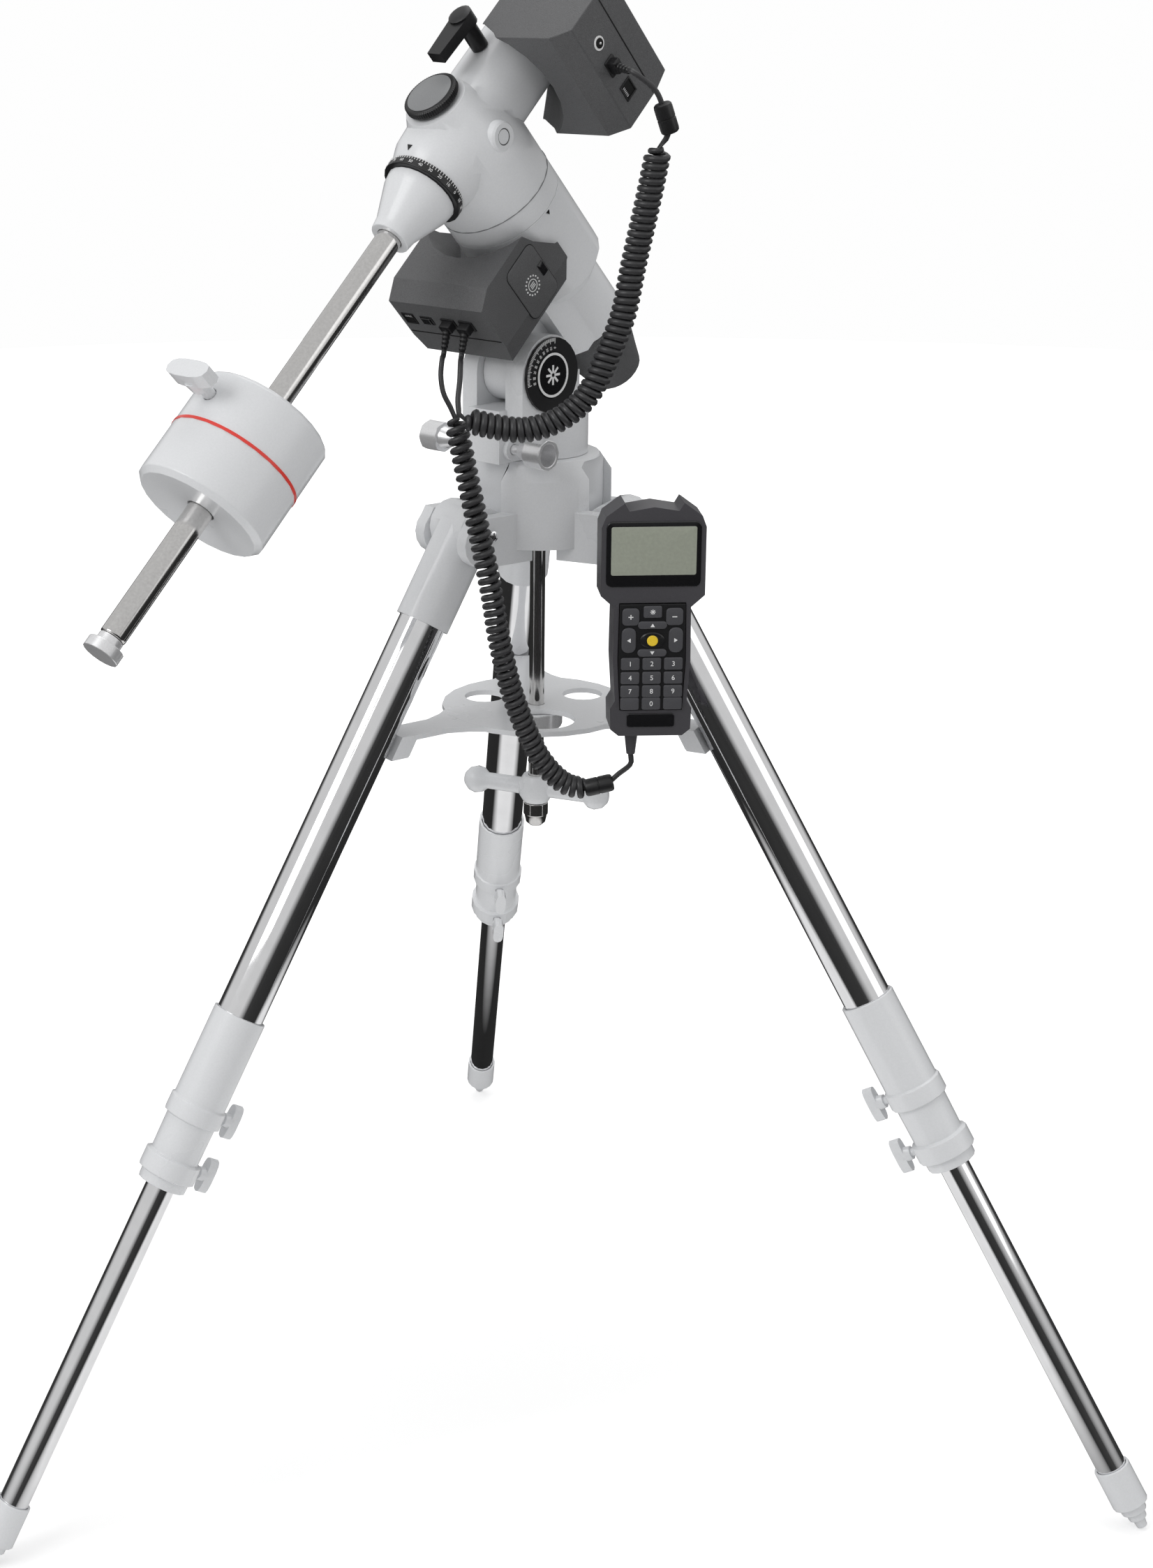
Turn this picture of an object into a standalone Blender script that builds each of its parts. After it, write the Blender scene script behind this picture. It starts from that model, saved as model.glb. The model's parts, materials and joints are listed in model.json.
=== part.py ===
"""Computerised German equatorial mount on its field tripod, with curly cords and a handset.

Metres, +Z up, the feet on Z = 0. The polar axis points up towards -Y (north), and the
latitude scale faces +X (east).
"""

import math

import bmesh
import bpy
import numpy as np
from mathutils import Matrix, Vector

# Driving dimensions -------------------------------------------------------------------
GAP = 0.0003  # between pieces that touch
LEG_SPLAY = math.radians(30.7)  # a leg's angle from vertical
LEG_PIVOT_RADIUS = 0.068
LEG_AZIMUTHS = {"north": 258.8, "east": 18.8, "rear": 138.8}  # degrees from +X
LEG_LENGTH = 0.858  # pivot to the end of the foot's peg
PEG_RADIUS = 0.004
UPPER_TUBE_RADIUS = 0.0185
LOWER_TUBE_RADIUS = 0.0115
TUBE_WALL = 0.0012
KNUCKLE_RADIUS = 0.0214
KNUCKLE_END = 0.080  # distances along a leg, from its pivot
CLAMP_TOP = 0.407
CLAMP_STEP = 0.477
CLAMP_END = 0.547
CLAMP_RADIUS = 0.0209
KNOB_STATIONS = {"upper": 0.4865, "lower": 0.531}
FOOT_TOP = 0.807

HUB_RADIUS = 0.0565
HUB_HEIGHT = 0.066
LUG_HALF = 0.0219  # half of the slot that a knuckle sits in
LUG_THICKNESS = 0.012
ROD_RADIUS = 0.006
TRAY_DROP = 0.154  # tray's middle below the leg pivots
TRAY_RADIUS = 0.075
TRAY_THICKNESS = 0.004

LATITUDE = math.radians(47)
ALTITUDE_AXIS = Vector((0.0, -0.0237, 0.8575))  # above the tripod's axis at the floor
RA_OFFSET = 0.0739  # polar axis above the altitude axis
CROSS_DISTANCE = 0.1724  # declination axis beyond the altitude axis, along the polar axis
YOKE_EAST = (0.0148, 0.0323)
YOKE_WEST = (-0.0295, -0.0145)
YOKE_HALF_DEPTH = 0.0278

HEAD_RADIUS = 0.0446
HEAD_RIM = -0.0686  # on the polar axis from the crossing
HOUSING_RADIUS = 0.0335
HOUSING_END = -0.198
HOUSING_FLAT = 0.0405  # flat panel's distance from the polar axis
COVER_END = -0.260
CASE_SIZE = (0.0955, 0.0985, 0.0540)  # motor case: width, reach from its axis, depth
CASE_NEAR = 0.010  # where a case begins beside its axis

SHAFT_RADIUS = 0.0096
SHAFT_END = -0.452  # along the declination axis from the crossing
WEIGHT_RADIUS = 0.050
WEIGHT_SPAN = (-0.348, -0.2605)

HANDSET_CENTRE = Vector((0.1342, -0.0247, 0.690))
HANDSET_FACING = Vector((0.731, -0.682, 0.0))
HANDSET_DEPTH = 0.030
KEY_TRAVEL = 0.0008
HOLDER_STATION = (0.050, 0.074)  # along the east leg
CORD_RADIUS = 0.0019
DEC_COIL_RADIUS = 0.0097
HAND_COIL_RADIUS = 0.0091

# Directions ---------------------------------------------------------------------------
X = Vector((1, 0, 0))
Y = Vector((0, 1, 0))
Z = Vector((0, 0, 1))
POLAR = Vector((0, -math.cos(LATITUDE), math.sin(LATITUDE)))
DEC = Vector((0, math.sin(LATITUDE), math.cos(LATITUDE)))
CROSSING = ALTITUDE_AXIS + POLAR * CROSS_DISTANCE + DEC * RA_OFFSET
PIVOT_HEIGHT = LEG_LENGTH * math.cos(LEG_SPLAY) + PEG_RADIUS * math.sin(LEG_SPLAY)
HUB_BOTTOM = PIVOT_HEIGHT - 0.014
HUB_TOP = HUB_BOTTOM + HUB_HEIGHT
TRAY_HEIGHT = PIVOT_HEIGHT - TRAY_DROP
BIG, ROUND, SMALL = 24, 16, 10  # sides of turned pieces

# Routes of the cords' middles, above the tripod's axis at the floor -----------------------
DEC_LEAD_ROUTE = [Vector(p) for p in (
    (0.1334, -0.0302, 1.0693), (0.1376, -0.0254, 1.0563), (0.1395, -0.0209, 1.0429), (0.1365, -0.0207,
        1.0350),
)]
DEC_COIL_ROUTE = [Vector(p) for p in (
    (0.1320, -0.0227, 1.0287), (0.1254, -0.0251, 0.9932), (0.1173, -0.0302, 0.9473), (0.1132, -0.0358,
        0.9116),
    (0.1069, -0.0454, 0.8819), (0.1005, -0.0557, 0.8571), (0.0924, -0.0660, 0.8433), (0.0820, -0.0783,
        0.8339),
    (0.0694, -0.0927, 0.8297), (0.0564, -0.1067, 0.8320), (0.0413, -0.1229, 0.8374),
)]
DEC_TAIL_ROUTE = [Vector(p) for p in (
    (0.0259, -0.1130, 0.8760), (0.0305, -0.1185, 0.8640), (0.0345, -0.1245, 0.8520), (0.0377, -0.1268,
        0.8420),
)]
HAND_TAIL_ROUTE = [Vector(p) for p in (
    (0.0062, -0.1120, 0.8765), (0.0088, -0.1160, 0.8650), (0.0125, -0.1170, 0.8530), (0.0170, -0.1145,
        0.8430),
)]
HAND_COIL_ROUTE = [Vector(p) for p in (
    (0.0196, -0.1124, 0.8353), (0.0264, -0.1110, 0.8073), (0.0345, -0.1095, 0.7752), (0.0438, -0.1081,
        0.7396),
    (0.0505, -0.1051, 0.7050), (0.0557, -0.1016, 0.6678), (0.0623, -0.0945, 0.6280), (0.0725, -0.0836,
        0.5895),
    (0.0791, -0.0764, 0.5729), (0.0870, -0.0680, 0.5609), (0.0942, -0.0603, 0.5558), (0.1008, -0.0532,
        0.5557),
)]
HAND_LEAD_ROUTE = [Vector(p) for p in (
    (0.1025, -0.0514, 0.5555), (0.1111, -0.0432, 0.5585), (0.1174, -0.0374, 0.5660),
)]


def frame(origin, axis, hint):
    """Matrix whose local Z runs along axis and whose local X is nearest to hint."""
    z = Vector(axis).normalized()
    x = (Vector(hint) - z * Vector(hint).dot(z)).normalized()
    y = z.cross(x)
    matrix = Matrix((x, y, z)).transposed().to_4x4()
    matrix.translation = Vector(origin)
    return matrix


def material(name, colour, roughness, metallic=0.0):
    """A Principled material, made once."""
    found = bpy.data.materials.get(name)
    if found:
        return found
    made = bpy.data.materials.new(name)
    made.use_nodes = True
    shader = made.node_tree.nodes["Principled BSDF"]
    shader.inputs["Base Color"].default_value = (*colour, 1)
    shader.inputs["Roughness"].default_value = roughness
    shader.inputs["Metallic"].default_value = metallic
    made.diffuse_color = (*colour, 1)
    return made


WHITE = material("painted_white", (0.80, 0.81, 0.82), 0.35)
CHROME = material("chrome", (0.75, 0.75, 0.76), 0.12, 1.0)
STEEL = material("brushed_steel", (0.42, 0.42, 0.43), 0.3, 1.0)
SILVER = material("silver_knob", (0.72, 0.72, 0.73), 0.3, 0.9)
DARK = material("dark_plastic", (0.075, 0.078, 0.085), 0.55)
BLACK = material("black_plastic", (0.02, 0.02, 0.022), 0.4)
RUBBER = material("cord_rubber", (0.035, 0.037, 0.04), 0.5)
KEYPAD = material("keypad", (0.10, 0.10, 0.115), 0.6)


def solid(mesh_name, build):
    """Mesh made by build(bm), with its faces turned outwards."""
    bm = bmesh.new()
    build(bm)
    bmesh.ops.recalc_face_normals(bm, faces=bm.faces)
    mesh = bpy.data.meshes.new(mesh_name)
    bm.to_mesh(mesh)
    bm.free()
    return mesh


def turned(profile, sides=ROUND):
    """Mesh of a closed or axis-to-axis profile of (radius, height) turned about Z."""

    def build(bm):
        closed = profile[0][0] > 0 or profile[-1][0] > 0
        rings = []
        for radius, height in profile:
            if radius == 0:
                rings.append([bm.verts.new((0, 0, height))])
                continue
            turn = [2 * math.pi * k / sides for k in range(sides)]
            rings.append([bm.verts.new((radius * math.cos(a), radius * math.sin(a), height)) for a in turn])
        pairs = list(zip(rings, rings[1:]))
        if closed:
            pairs.append((rings[-1], rings[0]))
        for low, high in pairs:
            for k in range(sides):
                n = (k + 1) % sides
                if len(low) == 1 and len(high) == 1:
                    break
                if len(low) == 1:
                    bm.faces.new((low[0], high[k], high[n]))
                elif len(high) == 1:
                    bm.faces.new((low[k], low[n], high[0]))
                else:
                    bm.faces.new((low[k], low[n], high[n], high[k]))

    return solid("turned", build)


def rod_profile(radius, low, high, chamfer=0.0):
    """Axis-to-axis profile of a plain rod with chamfered ends."""
    if chamfer == 0:
        return [(0, low), (radius, low), (radius, high), (0, high)]
    c = chamfer
    return [(0, low), (radius - c, low), (radius, low + c), (radius, high - c), (radius - c, high), (0, high)]


def prism(outline, low, high):
    """Mesh of an outline of (x, y) points extruded along Z."""

    def build(bm):
        bottom = [bm.verts.new((x, y, low)) for x, y in outline]
        top = [bm.verts.new((x, y, high)) for x, y in outline]
        bm.faces.new(bottom)
        bm.faces.new(top)
        for k in range(len(outline)):
            n = (k + 1) % len(outline)
            bm.faces.new((bottom[k], bottom[n], top[n], top[k]))

    return solid("prism", build)


def block(low, high):
    """Mesh of a box between two corners."""
    (x0, y0, z0), (x1, y1, z1) = low, high
    return prism([(x0, y0), (x1, y0), (x1, y1), (x0, y1)], z0, z1)


def arc(centre, radius, start, end, steps):
    """Points of an arc in degrees, ends included."""
    angles = [math.radians(start + (end - start) * k / steps) for k in range(steps + 1)]
    return [(centre[0] + radius * math.cos(a), centre[1] + radius * math.sin(a)) for a in angles]


def rounded_box(width, depth, radius, steps=4, centre=(0.0, 0.0)):
    """Outline of a rectangle with round corners."""
    cx, cy = centre
    w, d = width / 2 - radius, depth / 2 - radius
    corners = ((w, d, 0), (-w, d, 90), (-w, -d, 180), (w, -d, 270))
    return [p for x, y, a in corners for p in arc((cx + x, cy + y), radius, a, a + 90, steps)]


def add(name, mesh, matrix, finish, parent=None, sharp=35):
    """Object of a mesh in a placed frame, riding on parent."""
    made = bpy.data.objects.new(name, mesh)
    bpy.context.scene.collection.objects.link(made)
    made.data.materials.clear()
    made.data.materials.append(finish)
    if isinstance(made.data, bpy.types.Mesh):
        made.data.shade_smooth()
        made.data.set_sharp_from_angle(angle=math.radians(sharp))
    if parent:
        made.parent = parent
        made.matrix_parent_inverse = parent.matrix_world.inverted()
    made.matrix_world = matrix
    return made


def shape(target, mesh, matrix, operation):
    """Adds a hidden helper solid to, or cuts it from, the target."""
    helper = bpy.data.objects.new("helper_" + target.name, mesh)
    bpy.context.scene.collection.objects.link(helper)
    helper.hide_render = True
    helper.display_type = "WIRE"
    helper.matrix_world = matrix
    if target.parent:
        helper.parent = target.parent
        helper.matrix_parent_inverse = target.parent.matrix_world.inverted()
        helper.matrix_world = matrix
    modifier = target.modifiers.new(operation.lower(), "BOOLEAN")
    modifier.operation = operation
    modifier.solver = "EXACT"
    modifier.object = helper


def join(target, mesh, matrix):
    shape(target, mesh, matrix, "UNION")


def cut(target, mesh, matrix):
    shape(target, mesh, matrix, "DIFFERENCE")


def empty(name, origin, parent=None):
    """Parent empty on a joint's axis."""
    made = bpy.data.objects.new(name, None)
    made.empty_display_size = 0.02
    bpy.context.scene.collection.objects.link(made)
    if parent:
        made.parent = parent
        made.matrix_parent_inverse = parent.matrix_world.inverted()
    made.matrix_world = Matrix.Translation(origin)
    bpy.context.view_layer.update()
    return made


def smooth_path(route, step):
    """Points about one step apart on a smooth curve through the route."""
    points = [Vector(p) for p in route]
    points = [points[0] * 2 - points[1]] + points + [points[-1] * 2 - points[-2]]
    fine = []
    for a, b, c, d in zip(points, points[1:], points[2:], points[3:]):
        for k in range(24):
            t = k / 24
            fine.append(
                0.5 * (2 * b + (c - a) * t + (2 * a - 5 * b + 4 * c - d) * t**2 + (3 * b - a - 3 * c + d) * t**3)
            )
    fine.append(points[-2])
    lengths = np.cumsum([0.0] + [(q - p).length for p, q in zip(fine, fine[1:])])
    count = max(2, round(lengths[-1] / step) + 1)
    marks = np.linspace(0, lengths[-1], count)
    axes = [np.interp(marks, lengths, [p[k] for p in fine]) for k in range(3)]
    return [Vector(p) for p in zip(*axes)]


def cord(name, route, radius, step, resolution=2):
    """Curve tube with filled caps along a smooth route."""
    curve = bpy.data.curves.new(name, "CURVE")
    curve.dimensions = "3D"
    curve.bevel_depth = radius
    curve.bevel_resolution = resolution
    curve.use_fill_caps = True
    points = smooth_path(route, step)
    spline = curve.splines.new("POLY")
    spline.points.add(len(points) - 1)
    for place, point in zip(spline.points, points):
        place.co = (*point, 1)
    made = bpy.data.objects.new(name, curve)
    bpy.context.scene.collection.objects.link(made)
    curve.materials.append(RUBBER)
    return made


# Tripod -------------------------------------------------------------------------------
def leg_directions(azimuth):
    """(radial, tangential, along the leg) unit vectors of a leg."""
    angle = math.radians(azimuth)
    radial = Vector((math.cos(angle), math.sin(angle), 0))
    tangent = Z.cross(radial)
    along = radial * math.sin(LEG_SPLAY) - Z * math.cos(LEG_SPLAY)
    return radial, tangent, along


def tripod_hub(root):
    """Cast hub with three pairs of lugs and a bore for the rod."""
    r, top, low = HUB_RADIUS, HUB_TOP, HUB_BOTTOM
    profile = [(0, low), (r, low), (r, top - 0.014), (r - 0.0095, top), (0, top)]
    hub = add("tripod_hub", turned(profile, BIG), Matrix(), WHITE, root)
    for azimuth in LEG_AZIMUTHS.values():
        radial, tangent, _ = leg_directions(azimuth)
        half = LUG_HALF + LUG_THICKNESS
        middle = Vector((0, 0, PIVOT_HEIGHT))
        place = frame(middle, tangent, radial)
        front = LEG_PIVOT_RADIUS + 0.006
        outline = [(0.03, -0.0138), (front + 0.009, -0.0138)]
        outline += arc((front, 0.006), 0.0185, -48, 90, 6) + [(0.03, 0.0245)]
        join(hub, prism(outline, -half, half), place)
        cut(hub, block((0.045, -0.05, -LUG_HALF), (0.16, 0.0252, LUG_HALF)), place)
    cut(hub, turned(rod_profile(ROD_RADIUS + GAP, low - 0.01, top + 0.01)), Matrix())
    return hub


def leg(label, azimuth, root):
    """One telescopic leg: knuckle, tube, clamp with two knobs, extension and foot."""
    radial, tangent, along = leg_directions(azimuth)
    pivot = radial * LEG_PIVOT_RADIUS + Z * PIVOT_HEIGHT
    upper = empty("leg_" + label, pivot, root)
    place = frame(pivot, along, -radial)  # local X faces the tripod's axis
    bore = UPPER_TUBE_RADIUS + GAP
    knuckle = add("leg_knuckle_" + label, turned(rod_profile(KNUCKLE_RADIUS, 0.0, KNUCKLE_END)), place,
        WHITE, upper)
    eye = rod_profile(0.0200, -KNUCKLE_RADIUS, KNUCKLE_RADIUS, 0.001)
    join(knuckle, turned(eye), frame(pivot, tangent, radial))
    cut(knuckle, turned(rod_profile(bore, 0.030, KNUCKLE_END + 0.01)), place)
    inner = UPPER_TUBE_RADIUS - TUBE_WALL
    tube = [(inner, 0.030 + GAP), (UPPER_TUBE_RADIUS, 0.030 + GAP), (UPPER_TUBE_RADIUS, CLAMP_STEP - GAP),
        (inner, CLAMP_STEP - GAP)]
    add("leg_tube_" + label, turned(tube), place, CHROME, upper)
    slide = LOWER_TUBE_RADIUS + GAP
    sleeve = [
        (bore, CLAMP_TOP), (CLAMP_RADIUS, CLAMP_TOP), (CLAMP_RADIUS, 0.479), (0.0226, 0.4800), (0.0226,
            0.4930),
        (0.0197, 0.4940), (0.0193, 0.5235), (0.0226, 0.5245), (0.0226, 0.5385), (0.0193, 0.5395), (0.0190,
            CLAMP_END),
        (slide, CLAMP_END), (slide, CLAMP_STEP), (bore, CLAMP_STEP),
    ]
    clamp = add("leg_clamp_" + label, turned(sleeve), place, WHITE, upper)
    inner = LOWER_TUBE_RADIUS - TUBE_WALL
    extension = empty("leg_extension_" + label + "_slide", pivot, upper)
    lower = [(inner, 0.33), (LOWER_TUBE_RADIUS, 0.33), (LOWER_TUBE_RADIUS, 0.8385), (inner, 0.8385)]
    add("leg_extension_" + label, turned(lower), place, CHROME, extension)
    bore = LOWER_TUBE_RADIUS + GAP
    cap = [
        (0, 0.8390), (bore, 0.8390), (bore, FOOT_TOP), (0.0138, FOOT_TOP), (0.0138, 0.8385), (0.0100, 0.8395),
        (0.0098, 0.8450), (0.0072, 0.8455), (0.0070, 0.8510), (PEG_RADIUS + 0.0008, 0.8515), (PEG_RADIUS,
            LEG_LENGTH),
        (0, LEG_LENGTH),
    ]
    add("foot_cap_" + label, turned(cap, ROUND), place, WHITE, extension)
    inward = -(radial - along * radial.dot(along)).normalized()
    for level, station in KNOB_STATIONS.items():
        centre = place @ Vector((0, 0, station))
        cut(clamp, turned(rod_profile(0.0034, 0.0, 0.03), SMALL), frame(centre, inward, along))
        name = "leg_knob_%s_%s" % (level, label)
        wing_knob(name, centre, inward, along, LOWER_TUBE_RADIUS + 2 * GAP, 0.0265, upper)
    return upper


def wing_knob(name, centre, axis, hint, start, boss, parent, scale=1.0):
    """Wing screw whose stud points back at centre along axis."""
    place = frame(centre, axis, hint)
    s = scale
    profile = [(0, start), (0.003 * s, start), (0.003 * s, boss), (0.0052 * s, boss),
        (0.0060 * s, boss + 0.007 * s), (0, boss + 0.007 * s)]
    knob = add(name, turned(profile, SMALL), place, WHITE, empty(name + "_axis", centre, parent))
    half, tip, waist = 0.0096 * s, 0.0042 * s, 0.0048 * s
    outline = arc((half, 0.0), tip, -90, 90, 4) + [(half * 0.5, waist), (-half * 0.5, waist)]
    outline += arc((-half, 0.0), tip, 90, 270, 4) + [(-half * 0.5, -waist), (half * 0.5, -waist)]
    join(knob, prism(outline, boss + 0.005 * s, boss + 0.013 * s), place)
    return knob


def spreader(root):
    """Centre rod, three-armed tray, its ribbed nut and the T-handle."""
    spin = empty("rod_axis", (0, 0, TRAY_HEIGHT), root)
    base = TRAY_HEIGHT - 0.1
    profile = [
        (0, base), (0.0045, base), (0.0078, base + 0.003), (0.0092, base + 0.0095), (0.0098, base + 0.0097),
        (0.0098, base + 0.0195), (ROD_RADIUS, base + 0.0197), (ROD_RADIUS, HUB_TOP - 0.002), (0,
            HUB_TOP - 0.002),
    ]
    add("spreader_rod", turned(profile, 24), Matrix(), CHROME, spin)
    centre = Vector((0, 0, TRAY_HEIGHT - 0.0685))
    bore = ROD_RADIUS + GAP
    direction = Vector((math.cos(math.radians(20.9)), math.sin(math.radians(20.9)), 0))
    across = frame(centre, direction, Z)
    ball = [(0.0112 * math.cos(a),
        0.0505 + 0.0112 * math.sin(a)) for a in np.radians(np.linspace(-54, 90, 6))]
    ball[-1] = (0, ball[-1][1])
    bar = [(0, -ball[-1][1])] + [(r, -z) for r, z in ball[-2::-1]]
    bar += [(0.0068, -0.012), (0.0068, 0.012)] + ball
    handle = add("t_handle", turned(bar, 14), across, WHITE, spin)
    body = [(0, -0.0112), (0.0100, -0.0112), (0.0136, -0.0050), (0.0136, 0.0050), (0.0100, 0.0112),
        (0, 0.0112)]
    join(handle, turned(body, 20), frame(centre, Z, X))
    cut(handle, turned(rod_profile(bore, -0.03, 0.03), 24), frame(centre, Z, X))
    slide = empty("tray_slide", (0, 0, TRAY_HEIGHT), root)
    tray(slide)
    nut = [(bore, -0.0165), (0.0185, -0.0165), (0.0205, -0.0145), (0.0205, -0.0035), (0.0195, -0.0023),
        (bore, -0.0023)]
    add("tray_nut", turned(nut), Matrix.Translation((0, 0, TRAY_HEIGHT)), SILVER,
        empty("tray_nut_axis", (0, 0, TRAY_HEIGHT), slide))


def tray(slide):
    """Flat tray with three arms whose end pads bear on the legs."""
    at = Matrix.Translation((0, 0, TRAY_HEIGHT))
    half = TRAY_THICKNESS / 2
    plate = add("spreader_tray", turned(rod_profile(TRAY_RADIUS, -half, half), BIG), at, WHITE, slide)
    reach = LEG_PIVOT_RADIUS + TRAY_DROP * math.tan(LEG_SPLAY) - UPPER_TUBE_RADIUS / math.cos(LEG_SPLAY)
    for azimuth in LEG_AZIMUTHS.values():
        radial, tangent, _ = leg_directions(azimuth)
        root_end, tip = 0.055, reach - 0.0125
        arm = [(root_end, -0.038), (0.079, -0.021), (0.095, -0.0145), (tip, -0.0145), (tip, 0.0145),
            (0.095, 0.0145), (0.079, 0.021), (root_end, 0.038)]
        join(plate, prism(arm, -half + 0.0001, half - 0.0001), at @ frame((0, 0, 0), Z, radial))
        slope = math.tan(LEG_SPLAY)
        inner = [(tip - 0.002, half), (tip - 0.002, -half), (tip + 0.0045, -0.0135)]
        face = [(reach - GAP + slope * 0.0150, -0.0150), (reach - GAP - slope * half, half)]
        side = frame(Vector((0, 0, TRAY_HEIGHT)), -tangent, radial)
        join(plate, prism(inner + [(tip + 0.006, -0.0150)] + face, -0.014, 0.014), side)
    holes = ((0.0415, 0.0255, 318.8), (0.0455, 0.0160, 78.8), (0.0455, 0.0160, 198.8))
    for distance, radius, azimuth in holes:
        a = math.radians(azimuth)
        place = at @ Matrix.Translation((distance * math.cos(a), distance * math.sin(a), 0))
        cut(plate, turned(rod_profile(radius, -0.01, 0.01), 24 if radius > 0.02 else 16), place)
    cut(plate, turned(rod_profile(ROD_RADIUS + GAP, -0.01, 0.01), 24), at)


# Mount --------------------------------------------------------------------------------
def azimuth_base(root):
    """Turntable with its north block, the latitude yoke and the azimuth knobs."""
    turn = empty("azimuth", (0, 0, HUB_TOP), root)
    low = HUB_TOP + GAP
    y, z = ALTITUDE_AXIS.y, ALTITUDE_AXIS.z
    base = add("azimuth_base", turned(rod_profile(0.038, low, z - 0.0292), BIG), Matrix(), WHITE, turn)
    join(base, block((-0.0165, -0.062, low), (0.0165, -0.005, z - 0.0250)), Matrix())
    join(base, block((-0.009, 0.020, z - 0.03), (0.009, 0.0365, z - 0.0055)), Matrix())
    for west, east in (YOKE_WEST, YOKE_EAST):
        side = frame((0, y, z), X, Y)  # local X is +Y, local Y is +Z
        outline = arc((0, 0), YOKE_HALF_DEPTH + 0.0022, 0, 180, 14)
        outline = [(YOKE_HALF_DEPTH + 0.0022, -0.040)] + outline + [(-YOKE_HALF_DEPTH - 0.0022, -0.040)]
        join(base, prism(outline, west, east), side)
    cut(base, turned(rod_profile(0.0083, -0.06, 0.06), 20), frame((0, y, z), X, Y))
    for label, side, out in (("east", 1, 0.0), ("west", -1, 0.0135)):
        place = frame((0, -0.050, low + 0.0105), X * side, Z)
        join(base, turned(rod_profile(0.0082, 0.010, 0.0205), ROUND), place)
        cut(base, turned(rod_profile(0.0043, 0.005, 0.05), SMALL), place)
        ribbed = knurled(0.0118, 0.0385 + out, 0.0555 + out, 0.0088, 0.0405 + out)
        axis = empty("azimuth_knob_%s_axis" % label, place.translation, turn)
        knob = add("azimuth_knob_" + label, ribbed, place, SILVER, axis)
        neck = [
            (0, 0.0055), (0.004, 0.0055), (0.004, 0.0270 + out), (0.0062, 0.0290 + out), (0.0095,
                0.0395 + out),
            (0, 0.0395 + out),
        ]
        join(knob, turned(neck, SMALL), place)
    bolt = frame((0, 0.0365, z - 0.0210), (0, 1, -0.25), X)
    screw = add("latitude_bolt", turned(rod_profile(0.0042, 0.0020, 0.0120), SMALL), bolt, CHROME,
                empty("latitude_bolt_axis", bolt.translation, turn))
    join(screw, turned(rod_profile(0.0016, 0.0, 0.026), 8), frame(bolt @ Vector((0, 0, 0.0092)), -Z, X))
    dial = add("latitude_scale", turned(rod_profile(0.0285, GAP, 0.0028), BIG),
        frame((YOKE_EAST[1], y, z), X, Y), BLACK, turn)
    cut(dial, turned(rod_profile(0.0175, 0.0018, 0.01), 40), frame((YOKE_EAST[1], y, z), X, Y))
    pin = [(0, YOKE_WEST[0] - 0.004), (0.012, YOKE_WEST[0] - 0.004), (0.012, YOKE_WEST[0] - GAP),
        (0.0080, YOKE_WEST[0] - GAP),
           (0.0080, YOKE_EAST[1] - GAP), (0, YOKE_EAST[1] - GAP)]
    add("altitude_pin", turned(pin), frame((0, y, z), X, Y), STEEL, turn)
    return turn


def knurled(radius, low, high, hollow, floor):
    """Cup-ended knob body with a fluted rim."""

    def build(bm):
        turn = [2 * math.pi * k / ROUND for k in range(ROUND)]
        fluted = [radius - 0.0005 * (k % 2) for k in range(ROUND)]
        plain = [hollow] * ROUND
        rings = []
        for radii, height in ((fluted, low), (fluted, high), (plain, high), (plain, floor)):
            points = [(q * math.cos(a), q * math.sin(a), height) for q, a in zip(radii, turn)]
            rings.append([bm.verts.new(point) for point in points])
        bm.faces.new(rings[0])
        bm.faces.new(rings[3])
        for low_ring, high_ring in zip(rings, rings[1:]):
            for k in range(ROUND):
                n = (k + 1) % ROUND
                bm.faces.new((low_ring[k], low_ring[n], high_ring[n], high_ring[k]))

    return solid("knurled", build)


def motor_case(name, axis_place, depth_low, collar, parent):
    """Motor case beside an axis: local Z away from the crossing, local X towards its ports."""
    width, reach, depth = CASE_SIZE
    half, rise, low, high = width / 2, 0.0085, depth_low, depth_low + depth
    side_on = axis_place @ Matrix.Rotation(math.pi / 2, 4, "X")
    outline = [(CASE_NEAR, low - rise), (reach - 0.0155, low - rise), (reach, low), (reach, high),
        (CASE_NEAR, high)]
    case = add(name, prism(outline, -half, half), side_on, DARK, parent, sharp=25)
    for side in (1, -1):  # slanting far edges
        far = [(half - 0.004, high + 0.001), (half + 0.001, high + 0.001), (half + 0.001, high - 0.020)]
        far = [(side * a, b) for a, b in far]
        cut(case, prism(far, -0.01, reach + 0.02), axis_place @ frame((0, 0, 0), X, Y))
    # round scoop that clears the collar of the head
    top, deep = low - rise - 0.001, low + 0.024
    cone = [(0, top), (0.0590, top), (collar + 0.0040, deep), (0, deep)]
    cut(case, turned(cone, BIG), axis_place)
    return case


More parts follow.
